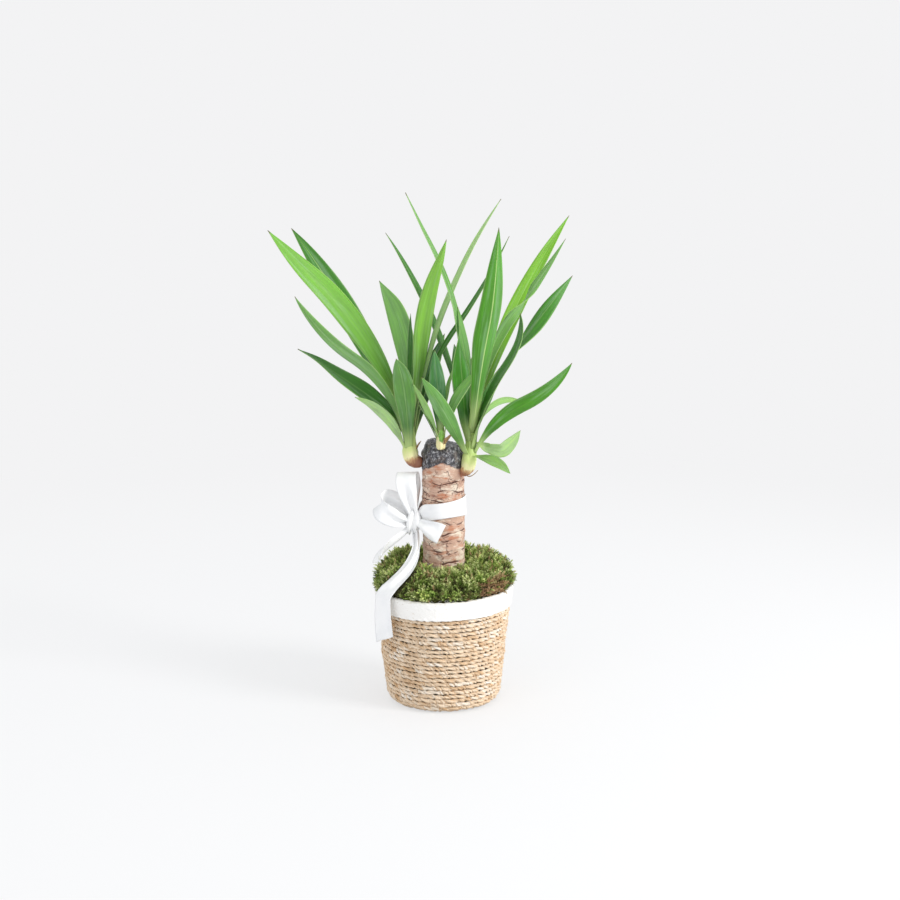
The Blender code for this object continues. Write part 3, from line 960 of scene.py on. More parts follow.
    def stations(self) -> list[tuple[float, float]]:
        """Space the rows from the middle of the floor out and up the wall.

        Returns:
            The (radius, height) of each row.
        """
        inset, top = self.rope_radius, self.height - self.collar_height
        line = [(0.004, inset), (self.base_radius - self.corner, inset)]
        for step in range(1, 9):
            angle = math.radians(-90 + 80 * step / 8)
            reach = self.corner - inset
            line.append((self.base_radius - self.corner + reach * math.cos(angle),
                         self.corner + reach * math.sin(angle)))
        line.append((self.wall_radius(top - inset) - inset, top - inset * 0.85))
        lengths = np.concatenate([[0], np.cumsum([math.dist(a, b) for a, b in zip(line, line[1:])])])
        rows = round(lengths[-1] / self.row_pitch)
        places = np.linspace(0, lengths[-1], rows + 1)
        return list(zip(np.interp(places, lengths, [p[0] for p in line]),
                        np.interp(places, lengths, [p[1] for p in line])))

    def coat(self, low: float) -> bpy.types.Object:
        """Make the thick wall of coating that fills the collar's rope rows.

        Args:
            low: The height of the collar's lower edge.

        Returns:
            The coat.
        """
        deselect()
        high = self.height - self.coat_top
        bpy.ops.mesh.primitive_cylinder_add(vertices=128, radius=1.0, depth=high - low - self.coat_trim,
                                            end_fill_type="NOTHING", location=(0, 0, (high + low) / 2))
        wall = settle(added("coat"))
        points = points_of(wall)
        reach = np.array([self.wall_radius(z) + self.collar_out - self.coat_depth for z in points[:, 2]])
        set_points(wall, points * np.stack([reach, reach, np.ones_like(reach)], axis=1))
        thickened(wall, self.coat_thickness)
        set_points(wall, self.settled(points_of(wall)))
        return wall

    def frays(self, count: int, low: float, high: float, seed: int, length: float) -> bpy.types.Object:
        """Scatter loose fibres on the wall.

        Args:
            count: How many there are.
            low: The lowest height.
            high: The greatest height.
            seed: The seed of their places.
            length: Their usual length.

        Returns:
            All of them as one piece.
        """
        rng = random.Random(seed)
        joints, sides = 4, 3
        points, faces = [], []
        for _ in range(count):
            turn, height = rng.uniform(0, math.tau), rng.uniform(low, high)
            radius = self.wall_radius(min(height, 0.120)) - 0.0006
            start = Vector((radius * math.cos(turn), radius * math.sin(turn), height))
            out = Vector((math.cos(turn), math.sin(turn), 0))
            along = Vector((-math.sin(turn), math.cos(turn), 0))
            heading = (along * rng.choice((-1, 1)) + Vector((0, 0, rng.uniform(-0.9, 0.9)))).normalized()
            side = heading.cross(out).normalized()
            size = length * rng.uniform(0.5, 1.4)
            base = len(points)
            for joint in range(joints):
                share = joint / (joints - 1)
                centre = start + heading * size * share + out * (0.0002 + 0.30 * size * share * share)
                slim = 0.00022 * (1 - 0.75 * share)
                for corner in range(sides):
                    angle = math.tau * corner / sides
                    points.append(centre + (side * math.cos(angle) + out * math.sin(angle)) * slim)
            for joint in range(joints - 1):
                ring = base + joint * sides
                for corner in range(sides):
                    first, second = ring + corner, ring + (corner + 1) % sides
                    faces.append((first, second, second + sides, first + sides))
            end = base + (joints - 1) * sides
            faces += [(base + 2, base + 1, base), (end, end + 1, end + 2)]
        piece = gather("frays", self.settled(np.array([p[:] for p in points])), faces)
        mark(piece, "fibre", points_of(piece) * 0.3)
        # A small constant hollow: a little painted shade on the collar's lint, none on the seagrass.
        mark(piece, "hollow", np.full(len(points), 0.2))
        mark(piece, "strand", np.full(len(points), 0.75))
        return piece

    def body(self, seagrass: bpy.types.Material) -> None:
        """Make the wall and the floor.

        Args:
            seagrass: The rope's material.
        """
        unit = self.twist_unit(self.ply_radius)
        floor, wall = [], []
        floor_radius = self.base_radius - self.corner - 0.001
        for number, (radius, height) in enumerate(self.stations()):
            lies = radius < floor_radius and height < 0.004
            (floor if lies else wall).append(self.row(unit, radius, height, number))
        wall.append(self.frays(count=260, low=0.006, high=0.119, seed=5, length=0.0075))
        hand_over(joined(wall, "basket_wall_rope"), seagrass, ["basket"])
        hand_over(joined(floor, "basket_floor_rope"), seagrass, ["basket"])
        bpy.data.objects.remove(unit)

    def collar(self, chalk: bpy.types.Material) -> None:
        """Make the collar: rows of thicker rope under a coat that softens them.

        Args:
            chalk: The coat's material.
        """
        low = self.height - self.collar_height
        rows = max(2, round(self.collar_height / self.collar_pitch))
        unit = self.twist_unit(self.ply_radius * self.collar_fat)
        parts = [self.coat(low)]
        for number in range(rows):
            height = low + self.collar_height * (number + 0.5) / rows
            radius = self.wall_radius(height) + self.collar_out - self.rope_radius
            parts.append(self.row(unit, radius, height, self.collar_number + number))
        band = evened(joined(parts, "rim_collar_rope"), self.coat_voxel)
        soften = band.modifiers.new("soften", "SMOOTH")
        soften.factor, soften.iterations = 0.5, 2
        apply_all(band)
        points = points_of(band)
        crest = np.array([self.wall_radius(z) + self.collar_out for z in points[:, 2]])
        # hollow: depth under the rope's crests, where the coat is painted in shade.
        mark(band, "hollow", np.clip((crest - np.hypot(points[:, 0], points[:, 1])) / 0.002, 0, 1))
        lint = self.frays(count=220, low=0.1415, high=0.1462, seed=9, length=0.0045)
        hand_over(joined([band, lint], "rim_collar_rope"), chalk, ["rim_band"])
        bpy.data.objects.remove(unit)

    def build(self, seagrass: bpy.types.Material, chalk: bpy.types.Material) -> None:
        """Make the wall, the floor and the collar."""
        self.body(seagrass)
        self.collar(chalk)


# ---------------------------------------------------------------- moss


@dataclass(frozen=True)
class Landing:
    """Where a sprig may root: turn and distance from the middle, and the bed's point and normal."""

    turn: float
    radius: float
    at_rim: bool
    spot: Vector | None
    normal: Vector | None

    @property
    def ahead(self) -> Vector:
        """The way out from the middle."""
        return Vector((math.cos(self.turn), math.sin(self.turn), 0))


@dataclass
class MossCushion:
    """Springy branching moss over the soil, with a few dead brown sprigs.

    Attributes:
        reach: How far from the middle the sprigs root.
        smallest: The size under which a sprig is left out.
        rim_every: One sprig in so many roots at the rim.
        dead_turn: The way, in radians, to the dead patch at the rim.
        tail: (x, y, z, width) in millimetres along the ribbon's long end, which lies over the moss.
        tail_margin: How far beside the ribbon, in millimetres, sprigs keep under it.
        quarters: The names of the four pieces, by the quarter of a turn that they root in.
    """

    reach: float = 0.0838
    trunk_radius: float = 0.0275
    bed_voxel: float = 0.0026
    sprig_length: float = 0.0108
    sprig_depth: float = 0.0020
    leaflets: int = 15
    leaflet_turn: float = 2.4
    count: int = 7900
    smallest: float = 0.12
    rim_every: int = 6
    rim_width: float = 0.006
    rim_height: float = 0.1462
    rim_tilt: float = 0.0018
    clump: float = 1.5
    clumps: float = 85.0
    seed: int = 11
    dead_turn: float = -0.76
    dead_half_turn: float = 0.27
    dead_radius: float = 0.0745
    dead_share: float = 0.88
    tail: tuple[tuple[float, float, float, float], ...] = ()
    tail_margin: float = 4.0
    headroom: float = 0.0015
    quarters: tuple[str, ...] = ("moss_front_left", "moss_front_right", "moss_back_right", "moss_back_left")

    def bed(self, material: bpy.types.Material) -> bpy.types.Object:
        """Make the uneven dark bed under the sprigs.

        Args:
            material: The bed's material.

        Returns:
            The bed.
        """
        bed = evened(copy_node("moss", "moss_bed"), self.bed_voxel)
        points = points_of(bed)
        lift = 0.0030 * np.abs(fuzz(points, 55.0, 5)) + 0.0011 * fuzz(points, 150.0, 1) - 0.0012
        top = smooth_rise(points[:, 2], 0.138, 0.148)
        set_points(bed, points + normals_of(bed) * (lift * top)[:, None])
        return hand_over(bed, material, ["moss"])

    def room(self, spot: Vector) -> float:
        """Measure the height free above a spot, under the ribbon's long end.

        Args:
            spot: A point on the bed.

        Returns:
            The free height, or 1 m where nothing lies above.
        """
        free = 1.0
        for first, second in zip(self.tail, self.tail[1:]):
            for share in (0.0, 0.33, 0.67):
                x, y, z, wide = (a + (b - a) * share for a, b in zip(first, second))
                if math.hypot(spot.x - x * MM, spot.y - y * MM) < (wide / 2 + self.tail_margin) * MM:
                    free = min(free, z * MM - spot.z)
        return free

    def sprig(self) -> tuple[np.ndarray, np.ndarray, np.ndarray]:
        """Model one sprig: a curved stem with side leaflets, shorter towards the tip.

        Returns:
            Its points, its triangles, and how near each point is to a tip.
        """
        deselect()
        bpy.ops.mesh.primitive_cone_add(vertices=3, radius1=0.00038, radius2=0.00010, depth=1.0,
                                        end_fill_type="NOTHING", location=(0, 0, 0.5))
        stem = settle(added("sprig"))
        stem.scale = (1, 1, self.sprig_length)
        settle(stem)
        leaflets = []
        for number in range(self.leaflets):
            share = 0.16 + 0.84 * number / (self.leaflets - 1)
            size = 0.0042 * (1.12 - share) + 0.0013
            deselect()
            bpy.ops.mesh.primitive_cone_add(vertices=3, radius1=0.00052, radius2=0.0, depth=size,
                                            end_fill_type="NOTHING", location=(0, 0, size / 2))
            leaflet = settle(added("leaflet"))
            leaflet.rotation_euler = (math.radians(62 - 30 * share), 0, number * self.leaflet_turn)
            leaflet.location = (0, 0, self.sprig_length * share)
            leaflets.append(settle(leaflet))
        whole = joined([stem, *leaflets], "sprig")
        points = points_of(whole)
        spread = np.hypot(points[:, 0], points[:, 1])
        tip = np.clip(points[:, 2] / self.sprig_length * 0.75 + spread * 95, 0, 1)
        whole.data.calc_loop_triangles()
        triangles = np.array([t.vertices[:] for t in whole.data.loop_triangles])
        bpy.data.objects.remove(whole)
        return points, triangles, tip

    def landing(self, rng: random.Random, tree: BVHTree, at_rim: bool) -> Landing:
        """Pick a place for a sprig, on the bed's top or on its rim.

        Args:
            rng: The source of chance.
            tree: The bed, for rays.
            at_rim: Whether it is on the rim.

        Returns:
            The place; it has no spot where the ray missed the bed.
        """
        turn = rng.uniform(-math.pi, math.pi)
        radius = math.sqrt(rng.uniform(self.trunk_radius ** 2, self.reach ** 2))
        ahead = Vector((math.cos(turn), math.sin(turn), 0))
        start, way = ahead * radius + Vector((0, 0, 0.2)), Vector((0, 0, -1))
        if at_rim:
            radius = self.reach
            low = self.rim_height + self.rim_tilt * math.cos(turn)
            start, way = ahead * 0.1 + Vector((0, 0, low + rng.uniform(0.0, 0.006))), -ahead
        spot, normal, _, _ = tree.ray_cast(start, way)
        return Landing(turn, radius, at_rim, spot, normal)

    def growth(self, rng: random.Random, land: Landing, clump: float) -> tuple[Vector, float]:
        """Choose a sprig's way and size: it leans out at the rim and stays under the ribbon.

        Args:
            rng: The source of chance.
            land: Its place.
            clump: How lush the moss is there.

        Returns:
            The way it grows, and its size.
        """
        spot = land.spot
        lean = Vector((noise.noise(spot * 60.0), noise.noise(spot * 60.0 + Vector((9, 3, 1))), 0))
        stray = Vector((rng.gauss(0, 0.45), rng.gauss(0, 0.45), 0.25))
        up = (land.normal + lean * 1.1 + stray).normalized()
        size = rng.uniform(0.45, 1.15) * (1 + 0.32 * clump)
        if land.radius > self.reach - self.rim_width:
            size *= 0.70 if land.at_rim else 0.85
            up = (up + land.ahead * 0.45 + Vector((0, 0, 0.5 * land.at_rim))).normalized()
        return up, min(size, max(0.0, self.room(spot) - self.headroom) / (self.sprig_length * 1.25))

    def planted(self, rng: random.Random, points: np.ndarray, spot: Vector, up: Vector,
                size: float) -> np.ndarray:
        """Arch a sprig, turn it and set it on its spot.

        Args:
            rng: The source of chance.
            points: The model sprig's points.
            spot: Where it roots.
            up: The way it grows.
            size: Its size.

        Returns:
            Its points.
        """
        side = up.orthogonal().normalized()
        spin = rng.uniform(0, math.tau)
        side = (side * math.cos(spin) + up.cross(side) * math.sin(spin)).normalized()
        other = up.cross(side)
        arch = points[:, 2] ** 2 * rng.uniform(10, 34)
        local = np.stack([points[:, 0] + arch, points[:, 1], points[:, 2]], axis=1) * size
        return local @ np.array([side[:], other[:], up[:]]) + np.array((spot - up * self.sprig_depth)[:])

    def age(self, rng: random.Random, land: Landing) -> float:
        """Choose how dead a sprig is: most of one patch at the rim is, and a few elsewhere.

        Args:
            rng: The source of chance.
            land: Its place.

        Returns:
            About 0 when it is green, up to 0.9 when it is dead.
        """
        near = abs(wrapped(land.turn - self.dead_turn)) < self.dead_half_turn
        outer = land.radius > self.dead_radius
        dead = 0.9 if near and outer and rng.random() < self.dead_share else 0.0
        return max(dead, 0.8 if rng.random() < 0.09 else rng.uniform(0, 0.15))

    def build(self, moss: bpy.types.Material, soil: bpy.types.Material) -> None:
        """Make the bed and plant the sprigs on it, in four pieces.

        Args:
            moss: The sprigs' material.
            soil: The bed's material.
        """
        bed = self.bed(soil).data
        points, triangles, tip = self.sprig()
        tree = BVHTree.FromPolygons([v.co[:] for v in bed.vertices], [p.vertices[:] for p in bed.polygons])
        rng = random.Random(self.seed)
        parts: list[list[tuple[np.ndarray, float, float]]] = [[] for _ in self.quarters]
        rooted = 0
        while rooted < self.count:
            land = self.landing(rng, tree, rooted % self.rim_every == 0)
            if land.spot is None:
                rooted += land.at_rim
                continue
            rooted += 1
            clump = noise.noise(Vector((land.spot.x, land.spot.y, 0)) * self.clumps) * self.clump
            up, size = self.growth(rng, land, clump)
            if size < self.smallest:
                continue
            cloud = self.planted(rng, points, land.spot, up, size)
            dead = self.age(rng, land)
            bright = 0.72 + 0.42 * clump + rng.uniform(-0.34, 0.34)
            parts[int((land.turn + math.pi) / (math.pi / 2)) % 4].append((cloud, dead, bright))
        step = len(points)
        for name, group in zip(self.quarters, parts):
            clouds, ages, brights = zip(*group)
            faces = np.concatenate([triangles + i * step for i in range(len(group))])
            piece = gather(name, np.concatenate(clouds), faces)
            mark(piece, "tip", np.clip(np.concatenate([tip * bright for bright in brights]), 0, 1))
            mark(piece, "age", np.repeat(ages, step))
            hand_over(piece, moss, ["moss"], smooth=False)


# ---------------------------------------------------------------- trunk and shoots


@dataclass
class Trunk:
    """Stout trunk: ring scars, upright seams in the bark, and a knobby sealed top.

    Attributes:
        scars: The heights of the ring scars.
        seams_from: The height of the lowest seam.
        wax_from: The height at which the seal begins.
    """

    radius: float = 0.0263
    scars: tuple[float, ...] = (0.176, 0.190, 0.203, 0.214, 0.226, 0.240, 0.254, 0.266, 0.277)
    scar_width: float = 0.00085
    seams: int = 13
    seams_from: float = 0.176
    seam_width: float = 0.0006
    wax_from: float = 0.2955
    voxel: float = 0.00105

    def cracks(self, points: np.ndarray) -> np.ndarray:
        """Find the ring scars and the seams in the bark.

        Args:
            points: Rows of x, y, z.

        Returns:
            0 to 1 at each point: how deep in one it lies.
        """
        turn = np.arctan2(points[:, 1], points[:, 0])
        ring = ring_of(turn)
        wander = 0.0016 * fuzz(points, 130.0, 3)
        depth = np.zeros(len(points))
        for number, height in enumerate(self.scars):
            arc = 0.0042 * np.abs(np.sin(turn * 1.5 + number * 1.9)) - 0.0020
            gap = points[:, 2] - (height + arc + wander)
            strong = smooth_rise(fuzz(ring, 2.2, number * 1.3 + 4), -0.35, 0.25)
            depth = np.maximum(depth, strong * np.exp(-(gap / self.scar_width) ** 2))
            depth = np.maximum(depth, 0.55 * strong * np.exp(-((gap + 0.0026) / 0.0007) ** 2))
        for number in range(self.seams):
            low = self.seams_from + (number * 0.0377) % 0.095
            sway = wrapped(turn - number * GOLDEN_TURN - 9 * wander / self.radius)
            part = (smooth_rise(points[:, 2], low, low + 0.003)
                    * smooth_rise(-points[:, 2], -low - 0.019, -low - 0.014))
            depth = np.maximum(depth, 0.9 * part * np.exp(-(sway * self.radius / self.seam_width) ** 2))
        return depth

    def build(self, bark: bpy.types.Material) -> None:
        """Make the trunk from its solid, finely meshed and given its relief.

        Args:
            bark: The bark's material.
        """
        trunk = evened(copy_node("trunk", "trunk_bark"), self.voxel)
        points, out = points_of(trunk), normals_of(trunk)
        shown = smooth_rise(points[:, 2], 0.140, 0.150)
        turn = np.arctan2(points[:, 1], points[:, 0])
        edge = (self.wax_from + 0.0056 * np.cos(2 * turn + math.pi) + 0.0034 * fuzz(points, 90.0, 6)
                + 0.0022 * fuzz(points, 300.0, 7))
        wax = smooth_rise(points[:, 2] - edge, -0.0004, 0.0009)
        crack = self.cracks(points) * (1 - wax) * shown
        plates = fuzz(points * np.array([1, 1, 2.6]), 42.0, 8)
        bark_lift = 0.0006 * plates + 0.00025 * fuzz(points, 480.0, 9) - 0.0009 * crack
        lumps = (0.0022 * np.abs(fuzz(points, 75.0, 10)) + 0.0010 * fuzz(points, 230.0, 11)
                 + 0.0004 * fuzz(points, 620.0, 12) + 0.0002)
        lift = shown * (bark_lift * (1 - wax) + lumps * wax)
        set_points(trunk, points + out * lift[:, None])
        mark(trunk, "crack", np.clip(crack, 0, 1))
        mark(trunk, "wax", wax)
        hand_over(trunk, bark, ["trunk"])


@dataclass
class Shoots:
    """The three leafy shoots' stems, with sheath ridges, and one dry root.

    Attributes:
        stub_radius: Distance from the trunk's middle beyond which the brown foot ends sooner.
        rise: The height over which a stem turns from brown to green.
        palest: The least share of that rise that the middle shoot shows.
        sheath: How thick the sheath round each stem's foot is.
        clean: How much of its brown foot each stem does without.
    """

    stub_radius: float = 0.0350
    rise: float = 0.042
    ridge: float = 0.00070
    ridges: float = 3.0
    palest: float = 0.22
    sheath: dict[str, float] = field(default_factory=lambda: {
        "left_shoot": 0.0021, "right_shoot": 0.0016, "middle_shoot": 0.0014})
    clean: dict[str, float] = field(default_factory=lambda: {
        "left_shoot": -0.0010, "right_shoot": 0.0040, "middle_shoot": 0.0})

    def build(self, stem: bpy.types.Material, husk: bpy.types.Material) -> None:
        """Make each stem from its solid, rounder and ridged.

        Args:
            stem: The stems' material.
            husk: The dry root's material.
        """
        for node in self.sheath:
            piece = copy_node(node, node + "_stem")
            rounder = piece.modifiers.new("round", "SUBSURF")
            rounder.levels = rounder.render_levels = 3
            apply_all(piece)
            points, out = points_of(piece), normals_of(piece)
            centre = points.mean(axis=0)
            angle = np.arctan2(points[:, 1] - centre[1], points[:, 0] - centre[0])
            above = points[:, 2] - points[:, 2].min()
            ridge = self.ridge * np.abs(np.sin(angle * self.ridges + above * 60))
            ridge += 0.0004 * fuzz(points, 220.0, 2)
            ridge += self.sheath[node] * (1 - smooth_rise(above, 0.014, 0.044))
            set_points(piece, points + out * ridge[:, None])
            away = np.hypot(points[:, 0], points[:, 1])
            torn = 0.0026 * fuzz(points, 260.0, 4) + 0.35 * (away - self.stub_radius)
            rise = smooth_rise(above + torn + self.clean[node], 0.0, self.rise)
            mark(piece, "rise", np.maximum(rise, self.palest if node == "middle_shoot" else 0.0))
            hand_over(piece, stem, [node])
        self.root(husk)

    def root(self, husk: bpy.types.Material) -> None:
        """Make the thin dry root that sticks out under the right shoot.

        Args:
            husk: The root's material.
        """
        deselect()
        bpy.ops.curve.primitive_bezier_curve_add()
        curve = bpy.context.object
        curve.data.bevel_depth, curve.data.bevel_resolution, curve.data.use_fill_caps = 0.0007, 2, True
        ends = ((0.0290, -0.0200, 0.2860), (0.0420, -0.0210, 0.2930))
        bends = ((0.0330, -0.0210, 0.2835), (0.0380, -0.0210, 0.2885))
        for point, end, bend, radius in zip(curve.data.splines[0].bezier_points, ends, bends, (1.0, 0.45)):
            point.handle_left_type = point.handle_right_type = "FREE"
            point.co, point.radius = end, radius
            point.handle_left = point.handle_right = bend
        take(curve)
        bpy.ops.object.convert(target="MESH")
        hand_over(settle(added("dry_root")), husk)


# ---------------------------------------------------------------- leaves


class Tone(Enum):
    """Leaf greens, from sunlit to shaded."""

    BRIGHT = "#70AC38"
    LIGHT = "#7EB04B"
    MID = "#4A8E18"
    DARK = "#42782D"
    BLUE = "#66984E"
    PALE = "#90B96C"
    MIST = "#A3C486"
    FRESH = "#76A75B"
    LIME = "#6FA428"
    DEEP = "#3E7A24"
    TEAL = "#4F8752"
    SHADE = "#2C5A26"


@dataclass(frozen=True)
class Blade:
    """How one leaf is cut, bent and set on its shoot; lengths in millimetres, turns in degrees.

    Attributes:
        up: How far up its stem the foot sits.
        turn: The way from the stem's middle to the foot.
        lean: How far the foot leans out.
        bow: How far the whole leaf bows outward.
        roll: How far the face turns over the first part of the leaf.
        twist: How far it twists over its span.
        sway: How far it bends sideways.
        kink: (start, bend, length) of one sharper bend; start and length are shares of the leaf.
        span: Where the twist begins and ends, as shares of the leaf.
        fold: How deep the crease along the middle is.
        foot_shade: How much painted shade darkens the foot.
    """

    name: str
    shoot: str
    up: float
    turn: float
    lean: float
    bow: float
    length: float
    width: float
    roll: float
    twist: float
    sway: float
    tone: Tone
    kink: tuple[float, float, float] = (0.0, 0.0, 1.0)
    span: tuple[float, float] = (0.0, 1.0)
    fold: float = 0.20
    foot_shade: float = 0.34


BLADES = (
    Blade("leaf_left_01", "left", 44, 165, 21, 24, 291, 32, -35, -10, 38, Tone.BRIGHT, (0.7, -14, 0.3),
          fold=0.16),
    Blade("leaf_left_02", "left", 30, 129, 38, 17, 341, 30, -25, 0, 0, Tone.DEEP, fold=0.3),
    Blade("leaf_left_03", "left", 16, 205, 8, 78, 230, 19, 20, 30, 0, Tone.FRESH, (0.55, -64, 0.45)),
    Blade("leaf_left_04", "left", 22, 143, 31, 62, 167, 30, -17, 0, 48, Tone.DEEP, (0.31, -35, 0.5)),
    Blade("leaf_left_05", "left", 8, 195, 17, 50, 91, 18, 40, 0, -8, Tone.MIST),
    Blade("leaf_left_06", "left", 8, 262, 8, 54, 156, 25, 10, 0, 0, Tone.BLUE),
    Blade("leaf_left_07", "left", 54, 86, 14, 54, 203, 28, -25, 0, 29, Tone.FRESH, (0.8, -20, 0.2),
          fold=0.12),
    Blade("leaf_left_08", "left", 52, 316, 14, -4, 241, 22, -25, 0, -18, Tone.LIGHT, (0.32, 26, 0.5),
          fold=0.14),
    Blade("leaf_left_09", "left", 58, 35, 7, 8, 166, 18, 30, 0, 0, Tone.DARK),
    Blade("leaf_left_10", "left", 60, 92, 7, 24, 116, 7, 10, 0, -2, Tone.DARK),
    Blade("leaf_left_11", "left", 34, 12, 8, 25, 297, 14, 15, 0, -6, Tone.MIST),
    Blade("leaf_left_12", "left", 22, 16, 6, 50, 268, 8, 30, 0, -16, Tone.DARK, (0.54, -35, 0.45)),
    Blade("leaf_left_13", "left", 22, 56, 24, 12, 138, 24, 0, 0, 0, Tone.SHADE),
    Blade("leaf_right_01", "right", 40, 130, -2, 19, 297, 20, 0, 35, 29, Tone.BLUE, (0.8, -13, 0.2),
          (0.3, 0.5)),
    Blade("leaf_right_02", "right", 30, 143, 14, 23, 269, 12, -5, 0, 6, Tone.DEEP),
    Blade("leaf_right_03", "right", 34, 283, 23, 51, 333, 30, 15, 0, -9, Tone.MID, (0.52, -44, 0.48),
          fold=0.42),
    Blade("leaf_right_04", "right", 44, 62, 30, 18, 312, 20, 30, 0, -14, Tone.LIME, (0.6, -5, 0.4)),
    Blade("leaf_right_05", "right", 36, 334, 0, 56, 258, 13, 90, 180, 16, Tone.FRESH, (0.62, -29, 0.38),
          (0.55, 0.75)),
    Blade("leaf_right_06", "right", 26, 10, 5, 77, 239, 25, 90, 160, 30, Tone.DEEP, (0.46, -42, 0.54),
          (0.1, 0.9)),
    Blade("leaf_right_07", "right", 15, 315, 9, 26, 179, 24, 56, 0, 35, Tone.DARK, (0.6, -60, 0.38)),
    Blade("leaf_right_08", "right", 9, 338, 24, 67, 167, 21, -55, 0, 0, Tone.MID, (0.53, -66, 0.47),
          fold=0.16),
    Blade("leaf_right_09", "right", 17, 65, 8, 112, 118, 10, 100, 0, -35, Tone.PALE),
    Blade("leaf_right_10", "right", 20, 15, 116, -33, 69, 20, 115, 0, -28, Tone.MIST, (0.42, -45, 0.12)),
    Blade("leaf_right_11", "right", 6, 315, 84, 36, 62, 16, 25, 0, 0, Tone.PALE),
    Blade("leaf_right_12", "right", 8, 228, 31, 14, 132, 19, 45, 0, 2, Tone.BLUE),
    Blade("leaf_right_13", "right", 24, 220, 7, 3, 168, 26, 84, 70, 8, Tone.DEEP, (0.5, 0, 0.5),
          (0.5, 0.85)),
    Blade("leaf_right_14", "right", 54, 90, 6, 10, 75, 16, 0, 0, 0, Tone.SHADE),
    Blade("leaf_right_15", "right", 20, 108, 22, 10, 128, 24, 0, 0, 0, Tone.SHADE),
    Blade("leaf_middle_01", "middle", 9, 322, 10, 43, 108, 19, 65, 0, 3, Tone.FRESH),
    Blade("leaf_middle_02", "middle", 18, 250, 6, 8, 104, 20, 20, 0, 0, Tone.TEAL),
    Blade("leaf_middle_03", "middle", 26, 21, 4, 14, 72, 13, 0, 0, 0, Tone.LIGHT),
    Blade("leaf_middle_04", "middle", 12, 216, 24, 8, 78, 10, 20, 0, 0, Tone.PALE),
    Blade("leaf_middle_05", "middle", 8, 182, 24, 6, 50, 15, 0, 0, 0, Tone.SHADE),
    Blade("leaf_middle_06", "middle", 4, 275, 10, 6, 20, 7, 0, 0, 0, Tone.LIGHT),
    Blade("dry_sheath", "middle", 3, 330, 30, 20, 20, 12, 0, 0, 0, Tone.PALE),
    Blade("dry_bract", "left", 6, 340, 24, 10, 14, 7, 0, 0, 0, Tone.PALE),
)


class Bend(Enum):
    """Ways a blade is shaped: the modifier's method and its axis."""

    OUTWARD = ("BEND", "Y")
    SIDEWAYS = ("BEND", "X")
    TWIST = ("TWIST", "Z")


